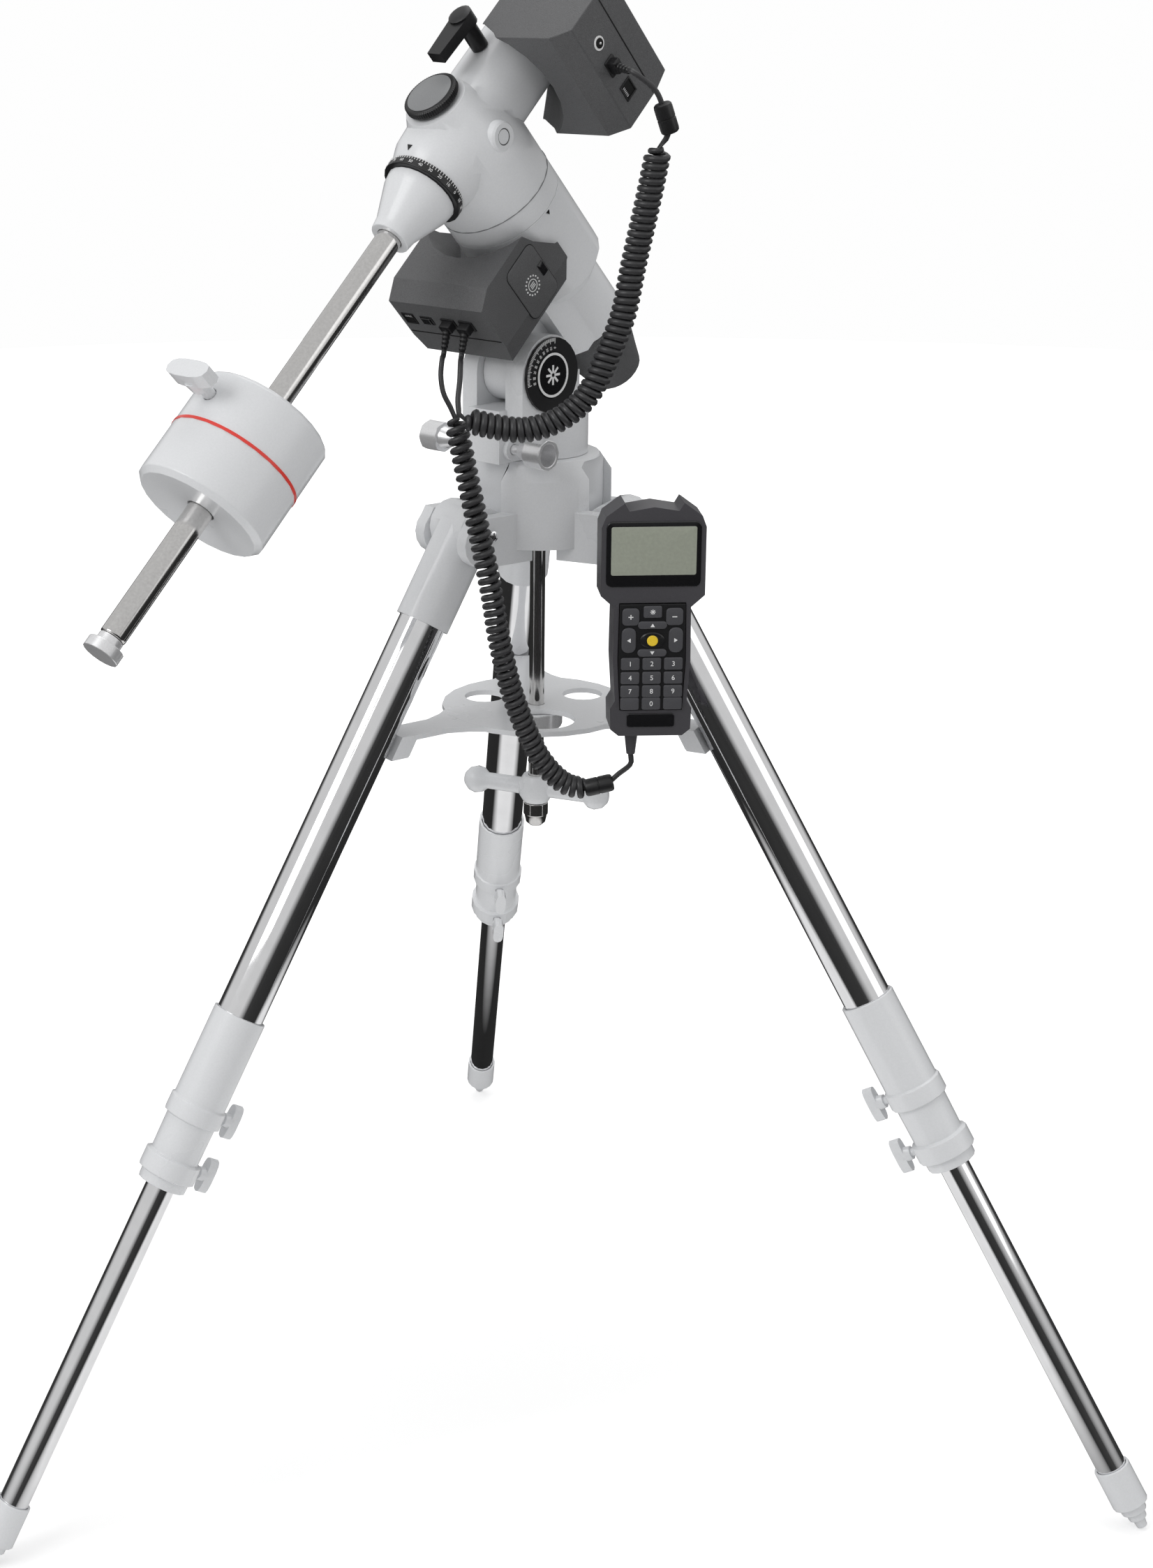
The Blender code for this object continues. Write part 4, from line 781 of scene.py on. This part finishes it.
# Motor cases ------------------------------------------------------------------------------------
@dataclass
class CaseDetails:
    """Sockets, parting lines, hatch and badge on the two motor cases."""

    shop: Workshop
    line: float = 0.0009  # width of a parting line

    def socket(self, name: str, body: str, where: Matrix, size: tuple[float, float]) -> None:
        """A moulded frame round a square socket with a row of contacts; its dark inside is painted shade, a
        near-black pad.
        """
        w, h = size
        sides = [
            bar((w + 0.0024, 0.0012, 0.0008), (0, h / 2 + 0.0006, 0.0003)),
            bar((w + 0.0024, 0.0012, 0.0008), (0, -h / 2 - 0.0006, 0.0003)),
            bar((0.0012, h, 0.0008), (w / 2 + 0.0006, 0, 0.0003)),
            bar((0.0012, h, 0.0008), (-w / 2 - 0.0006, 0, 0.0003)),
        ]
        self.shop.piece(name + "_frame", Shape.joined(sides), Finish.SATIN_BLACK, body, where)
        # Painted shade: a near-black pad stands for the shaded inside of the socket.
        self.shop.piece(
            name + "_recess", pillow(w, h, 0.0005, -0.0003, 0.00015, 0.0001), Finish.HOLE, body, where
        )
        pins = [
            bar(
                (0.0005, 0.0022, 0.0002), (x, h / 2 - 0.0018, 0.0002)
            ) for x in np.linspace(-0.32, 0.32, 6) * w
        ]
        self.shop.piece(name + "_contacts", Shape.joined(pins), Finish.SILVER, body, where)

    def build(self) -> None:
        """Puts the details on both cases."""
        ra_face = CROSSING - DEC * CASE_REACH
        self.socket(
            "guide_port", "altitude", place_at(ra_face - POLAR * 0.0900 - X * 0.041, -DEC, X),
            (0.0095, 0.0085)
        )
        rocker = Shape.joined(
            [
                pillow(0.0120, 0.0085, 0.001, -0.0003, 0.0008),
                pillow(0.0088, 0.0060, 0.0006, 0.0, 0.0020, 0.0008)
            ]
        )
        self.shop.piece(
            "power_switch", rocker, Finish.GLOSS_BLACK, "altitude",
            place_at(ra_face - POLAR * 0.0900 - X * 0.0225, -DEC, X)
        )
        for x, tag in ((0.0, "hand_port_ring"), (0.0181, "dec_port_ring")):
            collar = pillow(0.0136, 0.0106, 0.0012, -0.0003, 0.0010, 0.0005)
            self.shop.piece(
                tag, collar, Finish.SATIN_BLACK, "altitude",
                place_at(ra_face - POLAR * 0.0905 + X * x, -DEC, X)
            )
        seam = [bar((0.0925, self.line, 0.0006), (0, 0, 0.0))]
        self.shop.piece(
            "ra_case_seam", Shape.joined(seam), Finish.HOLE, "altitude",
            place_at(ra_face - POLAR * 0.1050 - X * 0.0035, -DEC, X)
        )
        east = place_at(CROSSING + X * CASE_EAST, X, POLAR)  # local X along POLAR, local Y against DEC
        hatch = pillow(
            0.0480, 0.0350, 0.0060, -0.0004, 0.0009, 0.0007
        ).moved(Matrix.Translation((-0.0960, 0.0480, 0)))
        self.shop.piece("battery_hatch", hatch, Finish.CASE, "altitude", east)
        groove = pillow(
            0.0492, 0.0362, 0.0066, -0.0004, 0.00018, 0.0001
        ).moved(Matrix.Translation((-0.0960, 0.0480, 0)))
        self.shop.piece("hatch_groove", groove, Finish.HOLE, "altitude", east)
        self.shop.piece(
            "hatch_latch",
            pillow(
                0.0110, 0.0065, 0.001, 0.0004, 0.0014, 0.0004
            ).moved(Matrix.Translation((-0.0960, 0.0345, 0))),
            Finish.GLOSS_BLACK, "altitude", east
        )
        angles = np.arange(16) * 2 * np.pi / 16
        dots = [
            lathe([(0.0, 0.0), (0.00075, 0.0), (0.00065, 0.00025), (0.0, 0.0003)], 12).moved(
                Matrix.Translation(
                    (BADGE[0] + 0.0072 * math.cos(a), BADGE[1] + 0.0072 * math.sin(a), 0.0009)
                )
            ) for a in angles
        ]
        inner = [rim(0.0042, 0.0048, 0.0006, 0.0011, 48).moved(Matrix.Translation((*BADGE, 0.0)))]
        inner += [
            bar((0.0006, 0.0050, 0.0004), (BADGE[0] + x, BADGE[1], 0.0010)) for x in (-0.0015, 0.0, 0.0015)
        ]
        self.shop.piece("hatch_badge", Shape.joined(dots + inner), Finish.PRINT, "altitude", east)
        port = CROSSING + X * CASE_REACH
        jack_place = place_at(port + POLAR * 0.023 + DEC * 0.073, X, POLAR)
        ring = lathe(
            [
                (0.0026, -0.0003), (0.0052, -0.0003), (0.0052, 0.0004), (0.0046, 0.0007), (0.0038, 0.0006),
                (0.0026, 0.0002)
            ],
            40
        )
        self.shop.piece("power_jack_ring", ring, Finish.PRINT, "ra_head", jack_place)
        # Painted shade: a near-black disc stands for the shaded inside of the jack's hole.
        self.shop.piece(
            "power_jack_hole",
            lathe([(0.0036, 0.0), (0.0036, 0.0010), (0.0022, 0.0011), (0.0, 0.0011)], 32), Finish.HOLE,
            "ra_head", jack_place
        )
        self.shop.piece(
            "power_jack_pin", lathe([(0.0009, 0.0008), (0.0009, 0.0018), (0.0, 0.0021)], 16), Finish.SILVER,
            "ra_head", jack_place
        )
        self.socket(
            "dec_guide_port", "ra_head", place_at(port - POLAR * 0.0224 + DEC * 0.0743, X, POLAR),
            (0.0110, 0.0100)
        )
        self.shop.piece(
            "dec_port_collar", pillow(0.0140, 0.0110, 0.0012, -0.0003, 0.0010, 0.0005), Finish.SATIN_BLACK,
            "ra_head", place_at(port + POLAR * 0.0017 + DEC * 0.0727, X, POLAR)
        )
        self.shop.piece(
            "dec_case_seam", bar((0.0925, self.line, 0.0006), (0, 0, 0)), Finish.HOLE, "ra_head",
            place_at(port + DEC * 0.0925 + POLAR * 0.002, X, POLAR)
        )


# Scales, bands and screws ---------------------------------------------------------------------
@dataclass
class Markings:
    """Setting-circle ticks, latitude scale, badge, index marks, red band, caps and screws."""

    shop: Workshop

    @staticmethod
    def ticks(
        radius: float, count: int, lengths: Callable[[int], float], along: bool, width: float = 0.0004,
        start: float = 0.0, stop: float = 2 * math.pi
    ) -> Shape:
        """A row of raised lines round a circle.

        Args:
            radius: where they stand.
            count: how many.
            lengths: the length of tick i.
            along: True for ticks along the axis on a rim, False for radial ticks on a face.
            width: their width.
            start: the first tick's angle.
            stop: the last tick's angle.

        Returns:
            The ticks as one surface.
        """
        made = []
        for i in range(count):
            angle = start + (stop - start) * i / count
            size = (0.0002, width, lengths(i)) if along else (lengths(i), width, 0.0002)
            shift = radius if along else radius - lengths(i) / 2
            made.append(bar(size, (shift, 0, 0)).moved(Matrix.Rotation(angle, 4, "Z")))
        return Shape.joined(made)

    def build(self) -> None:
        """Puts every marking and screw in place."""
        circle = place_at(CROSSING - DEC * 0.0498, DEC, X)
        low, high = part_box("dec_setting_circle")
        radius = (high.x - low.x) / 2 + 0.0002
        self.shop.piece(
            "circle_ticks",
            self.ticks(
                radius, 90, lambda i: 0.0024, True, 0.0005
            ).moved(Matrix.Translation((0, 0, 0.0024))),
            Finish.PRINT, "dec_setting_circle", circle
        )
        outward = Matrix(((0, 0, 1, radius), (1, 0, 0, 0), (0, 1, 0, -0.0010), (0, 0, 0, 1)))
        for i in range(24):
            here = Matrix.Rotation(math.radians(15 * i), 4, "Z") @ outward
            self.shop.text(
                f"circle_number_{15 * i}", str(min(i, 24 - i) % 10 * 10), 0.0034, circle @ here,
                Finish.PRINT, "dec_setting_circle"
            )
        scale = place_at(ALTITUDE_AXIS + X * 0.0352, X, -Y)
        marks = self.ticks(
            0.0278, 46, lambda i: 0.0042 if i % 5 == 0 else 0.0026, False, 0.00045, SCALE_START, SCALE_STOP
        )
        self.shop.piece("latitude_ticks", marks, Finish.PRINT, "azimuth", scale)
        inward = Matrix.Rotation(SCALE_TEXT, 4, "Z")
        for i in range(10):
            angle = SCALE_START + (SCALE_STOP - SCALE_START) * i * 5 / 46
            here = Matrix.Rotation(angle, 4, "Z") @ Matrix.Translation((0.0205, 0, 0.0002)) @ inward
            self.shop.text(
                f"latitude_number_{i * 10}", str(i * 10), 0.0030, scale @ here, Finish.PRINT, "azimuth"
            )
        star = [
            bar(
                (0.0150, 0.0018, 0.0004), (0, 0, 0.0003)
            ).moved(Matrix.Rotation(a, 4, "Z")) for a in np.arange(4) * math.pi / 4
        ]
        self.shop.piece(
            "latitude_badge_field", lathe([(0.0, 0.0), (0.0176, 0.0), (0.0176, 0.0002), (0.0, 0.0002)], 64),
            Finish.GLOSS_BLACK, "azimuth", scale
        )
        self.shop.piece(
            "latitude_badge_ring", rim(0.0150, 0.0168, 0.0001, 0.0006), Finish.PRINT, "azimuth", scale
        )
        self.shop.piece("latitude_badge_star", Shape.joined(star), Finish.PRINT, "azimuth", scale)
        middle = -0.348 + (0.348 - 0.2605) * 0.52
        self.shop.piece(
            "weight_band", rim(0.0496, 0.05025, -0.0011, 0.0011), Finish.RED, "counterweight",
            place_at(CROSSING + DEC * middle, DEC, X)
        )
        self.shop.piece(
            "head_cap_disc",
            lathe(
                [(0.0, -0.0004), (0.0176, -0.0004), (0.0176, 0.0005), (0.0168, 0.0010), (0.0, 0.0010)], 64
            ),
            Finish.GREY, "front_cap", place_at(CROSSING + POLAR * 0.0450, POLAR, X)
        )
        self.shop.piece(
            "head_cap_rim",
            lathe(
                [(0.0194, 0.0), (0.0210, 0.0002), (0.0210, 0.0042), (0.0200, 0.0050), (0.0180, 0.0050)],
                360, 72, 0.0005
            ),
            Finish.SATIN_BLACK, "front_cap", place_at(CROSSING + POLAR * 0.0398, POLAR, X)
        )
        self.shop.piece(
            "head_seam", rim(0.0440, 0.04475, -0.0003, 0.0003), Finish.GREY, "ra_head",
            place_at(CROSSING - POLAR * 0.0520, POLAR, X)
        )
        edges = [
            on_surface(
                ("dec_head",), WORM_HOLE + way * 0.0085, X
            ).translation.x for way in (DEC, -DEC, POLAR, -POLAR)
        ]
        worm = place_at(Vector((max(edges) - 0.0020, WORM_HOLE.y, WORM_HOLE.z)), X, Z)
        boss = [(0.0125, -0.0080), (0.0112, 0.0010), (0.0098, 0.0024), (0.0062, 0.0024), (0.0060, 0.0018)]
        self.shop.piece("dec_worm_boss", lathe(boss, 64), Finish.WHITE, "ra_head", worm)
        # Painted shade: a near-black disc stands for the shaded inside of the worm's hole.
        hole = [
            (0.0, 0.0008), (0.0060, 0.0008), (0.0060, 0.0018), (0.0056, 0.0021), (0.0050, 0.0014),
            (0.0, 0.0014)
        ]
        self.shop.piece("dec_worm_hole", lathe(hole, 48), Finish.HOLE, "ra_head", worm)
        self.shop.piece(
            "circle_index", wedge(0.0045, 0.0042, 0.0004), Finish.HOLE, "ra_head",
            on_surface(("dec_head",), CROSSING - DEC * 0.0400 + POLAR * 0.2, POLAR, -DEC)
        )
        arrow = wedge(0.0035, 0.0030, 0.0004)
        self.shop.piece(
            "head_index", arrow, Finish.HOLE, "altitude",
            place_at(CROSSING + X * 0.0406 - POLAR * 0.0750, X, -POLAR)
        )
        for side in ("north", "east", "rear"):
            self.screws(side)

    def screws(self, side: str) -> None:
        """The pivot screw's dome head and nut on one leg lug."""
        low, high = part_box("leg_knuckle_" + side)
        pivot = {
            "north": Vector((-0.06148, 0.01339, 0.7398)), "east": Vector((0.0161, 0.10201, 0.7398)),
            "rear": Vector((-0.09944, 0.12488, 0.7398))
        }[side]
        radial = Vector((pivot.x - SHIFT.x, pivot.y - SHIFT.y, 0)).normalized()
        tangent = Vector((-radial.y, radial.x, 0))
        dome = lathe(
            [
                (0.0, -0.0002), (0.0048, -0.0002), (0.0048, 0.0010), (0.0040, 0.0026), (0.0022, 0.0034),
                (0.0, 0.0036)
            ],
            32
        )
        for sign in (-1, 1):
            reach = lug_reach(pivot, tangent * sign)
            self.shop.piece(
                f"leg_screw_{side}_{'left' if sign < 0 else 'right'}", dome, Finish.TUBE, "tripod",
                place_at(pivot + tangent * sign * reach, tangent * sign, Z)
            )


def on_surface(nodes: Sequence[str], above: Vector, way: Vector, hint: Vector = Z) -> Matrix:
    """Finds a place on a casting's surface.

    Args:
        nodes: the CAD nodes to look on.
        above: a point outside them.
        way: the direction from the surface to that point.
        hint: the local X there.

    Returns:
        A frame on the first face met from that point against way, square to it.
    """
    best, place = 1e9, Matrix.Translation(above)
    for node in nodes:
        data = frame["nodes"][node].data
        tree = BVHTree.FromPolygons(
            [v.co for v in data.vertices], [tuple(p.vertices) for p in data.polygons]
        )
        point, normal, _, distance = tree.ray_cast(above, -way)
        if point and distance < best:
            best, place = distance, place_at(point, normal if normal.dot(way) > 0 else -normal, hint)
    return place


def rim(inner: float, outer: float, low: float, high: float, sides: int = 96) -> Shape:
    """A flat ring of square section: its four edges are circles, joined round in order."""
    angle = np.arange(sides) * 2 * np.pi / sides
    corners = ((outer, low), (outer, high), (inner, high), (inner, low))
    rows = np.stack(
        [np.stack([r * np.cos(angle), r * np.sin(angle), np.full(sides, z)], -1) for r, z in corners]
    )
    i, j = np.meshgrid(np.arange(4), np.arange(sides), indexing="ij")
    k, n = (j + 1) % sides, (i + 1) % 4
    quads = np.stack([i * sides + j, i * sides + k, n * sides + k, n * sides + j], -1).reshape(-1, 4)
    return Shape(rows.reshape(-1, 3), quads)


def wedge(width: float, height: float, thick: float) -> Shape:
    """A flat triangle that points along local X: three corners, carried up by its thickness."""
    flat = np.array([(height / 2, 0.0), (-height / 2, width / 2), (-height / 2, -width / 2)])
    rows = np.stack([np.concatenate([flat, np.full((3, 1), z)], axis=1) for z in (-thick, thick)])
    return rings(rows)


def lug_reach(pivot: Vector, way: Vector) -> float:
    """How far the hub's lug reaches from a leg's pivot, to the first face met from outside along way."""
    hub = frame["nodes"]["tripod_hub"].data
    tree = BVHTree.FromPolygons([v.co for v in hub.vertices], [tuple(p.vertices) for p in hub.polygons])
    point = tree.ray_cast(pivot + way * 0.08, -way, 0.08)[0]
    return (point - pivot).dot(way) if point else 0.02


# Handset ------------------------------------------------------------------------------------------
@dataclass
class HandsetFace:
    """The hand controller's screen, keys and blank label."""

    shop: Workshop
    key_size: tuple[float, float] = (0.0138, 0.0094)
    columns: tuple[float, ...] = (-0.0158, 0.0, 0.0158)
    rows: tuple[float, ...] = (-0.0322, -0.0429, -0.0532, -0.0627)

    def place(self) -> Matrix:
        """The handset's own frame: X to its right, Y up, Z out of its face."""
        return place_at(HANDSET_CENTRE, HANDSET_FACING, Z.cross(HANDSET_FACING))

    def build(self) -> None:
        """Makes everything on the handset's face."""
        face, at = self.place(), Matrix.Translation
        front = HANDSET_FRONT
        self.shop.piece(
            "screen_bezel",
            pillow(
                0.0690, 0.0490, 0.0045, front - 0.0006, front + 0.0008, 0.0008
            ).moved(at((0, 0.0500, 0))),
            Finish.GLOSS_BLACK, "handset", face
        )
        self.shop.piece(
            "screen",
            pillow(0.0620, 0.0361, 0.0015, front, front + 0.0012, 0.0003).moved(at((0, 0.0527, 0))),
            Finish.SCREEN, "handset", face
        )
        self.shop.piece(
            "label_plate",
            pillow(
                0.0350, 0.0105, 0.0020, front - 0.0004, front + 0.0008, 0.0005
            ).moved(at((0, -0.0760, 0))),
            Finish.GLOSS_BLACK, "handset", face
        )
        top = front + 0.0008
        caps = [(x, y, *self.key_size, 0.0016) for x in self.columns for y in self.rows]
        caps += [(0, 0.0072, 0.0135, 0.0090, 0.0015)]
        caps += [(x, 0.0035, 0.0125, 0.0130, 0.0030) for x in (-0.0160, 0.0160)]
        caps += [(x, -0.0142, 0.0105, 0.0190, 0.0045) for x in (-0.0172, 0.0172)]
        caps += [(0, y, 0.0215, 0.0058, 0.0028) for y in (-0.0028, -0.0238)]
        keys = [pillow(w, h, r, top, top + 0.0014, 0.0008).moved(at((x, y, 0))) for x, y, w, h, r in caps]
        self.shop.piece("key_caps", Shape.joined(keys), Finish.KEYS, "handset_keypad", face)
        self.shop.piece(
            "centre_oval",
            lathe(
                [(0.0, 0.0), (0.0072, 0.0), (0.0072, 0.0008), (0.0064, 0.0014), (0.0, 0.0014)], 48
            ).moved(at((0, -0.0144, top)) @ Matrix.Diagonal((1.25, 0.85, 1, 1))),
            Finish.SATIN_BLACK, "handset_keypad", face
        )
        self.shop.piece(
            "centre_key",
            lathe(
                [(0.0, 0.0), (0.0040, 0.0), (0.0040, 0.0020), (0.0034, 0.0026), (0.0, 0.0028)], 40
            ).moved(at((0, -0.0144, top))),
            Finish.YELLOW, "handset_keypad", face
        )
        printed = [
            wedge(0.0032, 0.0026, 0.0002).moved(
                at((x, y, top + 0.0014)) @ Matrix.Rotation(a, 4, "Z")
            ) for x,
            y,
            a in (
                (0, -0.0028, math.pi / 2), (0, -0.0238, -math.pi / 2), (0.0172, -0.0142, 0),
                (-0.0172, -0.0142, math.pi)
            )
        ]
        printed += [bar((0.0036, 0.0007, 0.0003), (x, 0.0035, top + 0.0014)) for x in (-0.0160, 0.0160)]
        printed += [bar((0.0007, 0.0036, 0.0003), (-0.0160, 0.0035, top + 0.0014))]
        printed += [
            bar((0.0040, 0.0005, 0.0003), (0, 0, 0)).moved(
                at((0, 0.0072, top + 0.0014)) @ Matrix.Rotation(a, 4, "Z")
            ) for a in np.arange(4) * math.pi / 4
        ]
        self.shop.piece("key_marks", Shape.joined(printed), Finish.PRINT, "handset_keypad", face)
        self.numbers(face, top + 0.0014)

    def numbers(self, face: Matrix, height: float) -> None:
        """Prints the digits on the key caps."""
        places = [(x, y) for y in self.rows[:3] for x in self.columns] + [(0.0, self.rows[3])]
        for digit, (x, y) in zip("1234567890", places):
            place = face @ Matrix.Translation((x, y, height + 0.0001))
            self.shop.text("key_number_" + digit, digit, 0.0052, place, Finish.PRINT, "handset_keypad")


# Studio -------------------------------------------------------------------------------------------
@dataclass
class Studio:
    """A pale floor, soft lights and the camera."""

    floor_radius: float = 6.0
    painted_glow_near_far: tuple[float, float] = (0.22, 0.80)  # painted light: glow that the floor adds to its own for the camera, near and far
    painted_reflection_edge: tuple[float, float] = (0.34, 0.52)  # painted reflection: where the floor that polished metal sees turns dark
    lens: float = 74.0332  # mm, on a sensor 36 mm wide
    sensor: float = 36.0
    shift: tuple[float, float] = (0.197337, -0.156961)  # as a share of the sensor's width
    stand: tuple[float, float, float] = (-0.148, -1.8, 1.149)
    pitch: float = 0.259
    roll: float = -0.013

    def floor(self) -> None:
        """A round pale floor with painted reflection and painted light: polished metal sees it as dark beyond
        the tripod's feet, and it glows for the camera, more towards its far edge.
        """
        shape = lathe(
            [(0.0, -0.004), (self.floor_radius, -0.004), (self.floor_radius, -0.0005), (0.0, -0.0005)], 96
        )
        mesh = bpy.data.meshes.new("floor")
        mesh.from_pydata(shape.points.tolist(), [], shape.quads.tolist() + shape.tris.tolist())
        made = bpy.data.objects.new("floor", mesh)
        bpy.context.scene.collection.objects.link(made)
        pale = bpy.data.materials.new("floor_paint")
        pale.use_nodes = True
        nodes, links = pale.node_tree.nodes, pale.node_tree.links
        shader = nodes["Principled BSDF"]
        shader.inputs["Roughness"].default_value = 0.8
        shader.inputs["Specular IOR Level"].default_value = 0.1
        # Painted reflection: for glossy rays the floor turns near black beyond the tripod's feet, which draws
        # dark lines in the polished metal.
        path, mix = nodes.new("ShaderNodeLightPath"), nodes.new("ShaderNodeMix")
        mix.data_type = "RGBA"
        mix.inputs["A"].default_value = (0.93, 0.93, 0.93, 1)
        mix.inputs["B"].default_value = (0.02, 0.02, 0.02, 1)
        where, far, edge = nodes.new("ShaderNodeTexCoord"), nodes.new(
            "ShaderNodeVectorMath"
        ), nodes.new("ShaderNodeMapRange")
        far.operation = "LENGTH"
        links.new(where.outputs["Object"], far.inputs[0])
        links.new(far.outputs["Value"], edge.inputs["Value"])
        edge.inputs["From Min"].default_value, edge.inputs["From Max"].default_value = self.painted_reflection_edge
        both = nodes.new("ShaderNodeMath")
        both.operation = "MULTIPLY"
        links.new(path.outputs["Is Glossy Ray"], both.inputs[0])
        links.new(edge.outputs["Result"], both.inputs[1])
        links.new(both.outputs[0], mix.inputs["Factor"])
        links.new(mix.outputs["Result"], shader.inputs["Base Color"])
        # Painted light: for camera rays the floor glows, more towards its far edge, so it reads white there.
        seen, glow, lit = nodes.new(
            "ShaderNodeMapRange"
        ), nodes.new("ShaderNodeMath"), shader.inputs["Emission Color"]
        links.new(far.outputs["Value"], seen.inputs["Value"])
        seen.inputs["From Min"].default_value, seen.inputs["From Max"].default_value = 0.2, 2.2
        seen.inputs["To Min"].default_value, seen.inputs["To Max"].default_value = self.painted_glow_near_far
        glow.operation = "MULTIPLY"
        links.new(path.outputs["Is Camera Ray"], glow.inputs[0])
        links.new(seen.outputs["Result"], glow.inputs[1])
        lit.default_value = (1.0, 1.0, 1.0, 1)
        links.new(glow.outputs[0], shader.inputs["Emission Strength"])
        mesh.materials.append(pale)

    def world(self) -> None:
        """A white room, dark near the ground, which draws the black lines in the polished tubes."""
        world = bpy.data.worlds.new("studio")
        bpy.context.scene.world = world
        world.use_nodes = True
        nodes, links = world.node_tree.nodes, world.node_tree.links
        ground = nodes["Background"]
        where, split = nodes.new("ShaderNodeTexCoord"), nodes.new("ShaderNodeSeparateXYZ")
        links.new(where.outputs["Generated"], split.inputs["Vector"])
        ramp = nodes.new("ShaderNodeValToRGB")
        ramp.color_ramp.elements[0].position, ramp.color_ramp.elements[0].color = 0.50, (0.06, 0.06, 0.06, 1)
        ramp.color_ramp.elements[1].position, ramp.color_ramp.elements[1].color = 0.60, (0.95, 0.95, 0.95, 1)
        lift = nodes.new("ShaderNodeMapRange")
        lift.inputs["From Min"].default_value, lift.inputs["From Max"].default_value = -1.0, 1.0
        links.new(split.outputs["Z"], lift.inputs["Value"])
        links.new(lift.outputs["Result"], ramp.inputs["Fac"])
        path, mix = nodes.new("ShaderNodeLightPath"), nodes.new("ShaderNodeMix")
        mix.data_type = "RGBA"
        mix.inputs["B"].default_value = (1.5, 1.5, 1.5, 1)
        links.new(path.outputs["Is Camera Ray"], mix.inputs["Factor"])
        links.new(ramp.outputs["Color"], mix.inputs["A"])
        links.new(mix.outputs["Result"], ground.inputs["Color"])
        ground.inputs["Strength"].default_value = 0.66

    @staticmethod
    def light(name: str, at: Sequence[float], size: float, power: float) -> None:
        """A square soft light that faces the mount.

        Args:
            name: its name.
            at: its place, as the camera sees it: right, away and up.
            size: the length of its side.
            power: its power in watts.
        """
        lamp = bpy.data.lights.new(name, "AREA")
        lamp.shape, lamp.size, lamp.energy = "SQUARE", size, power
        made = bpy.data.objects.new(name, lamp)
        bpy.context.scene.collection.objects.link(made)
        place = Matrix.Rotation(VIEW_TURN, 4, "Z") @ Vector(at)
        aim = Vector((0, 0, 0.7)) - place
        made.matrix_world = Matrix.Translation(place) @ aim.to_track_quat("-Z", "Y").to_matrix().to_4x4()

    def camera(self) -> None:
        """Stands the camera where the mount is seen from the handset's side."""
        forward = Vector((0, math.cos(self.pitch), -math.sin(self.pitch)))
        up = X.cross(forward)
        across = X * math.cos(self.roll) + up * math.sin(self.roll)
        upright = up * math.cos(self.roll) - X * math.sin(self.roll)
        turned = Matrix((across, upright, -forward)).transposed().to_4x4()
        turned.translation = Vector(self.stand)
        data = bpy.data.cameras.new("camera")
        data.sensor_fit, data.sensor_width, data.lens = "HORIZONTAL", self.sensor, self.lens
        data.shift_x, data.shift_y = self.shift
        data.clip_start, data.clip_end = 0.1, 30.0
        made = bpy.data.objects.new("camera", data)
        bpy.context.scene.collection.objects.link(made)
        made.matrix_world = Matrix.Translation(SHIFT) @ Matrix.Rotation(VIEW_TURN, 4, "Z") @ turned
        bpy.context.scene.camera = made

    def build(self) -> None:
        """Sets up the whole studio."""
        self.camera()
        self.floor()
        self.world()
        self.light("key_light", (-1.9, -1.4, 2.3), 1.6, 26.0)
        self.light("fill_light", (2.2, -0.9, 1.3), 1.4, 4.0)
        self.light("top_light", (0.2, 0.6, 3.0), 1.8, 14.0)
        bpy.context.scene.view_settings.view_transform = "Standard"


def main() -> None:
    """Builds the studio, then the mount, sub-assembly by sub-assembly."""
    logging.basicConfig(level=logging.INFO, format="%(name)s: %(message)s")
    shop = Workshop(Paintshop())
    Studio().build()
    Cords(shop).build()
    Castings(shop).build()
    CaseDetails(shop).build()
    Markings(shop).build()
    HandsetFace(shop).build()


if __name__ == "__main__":
    main()
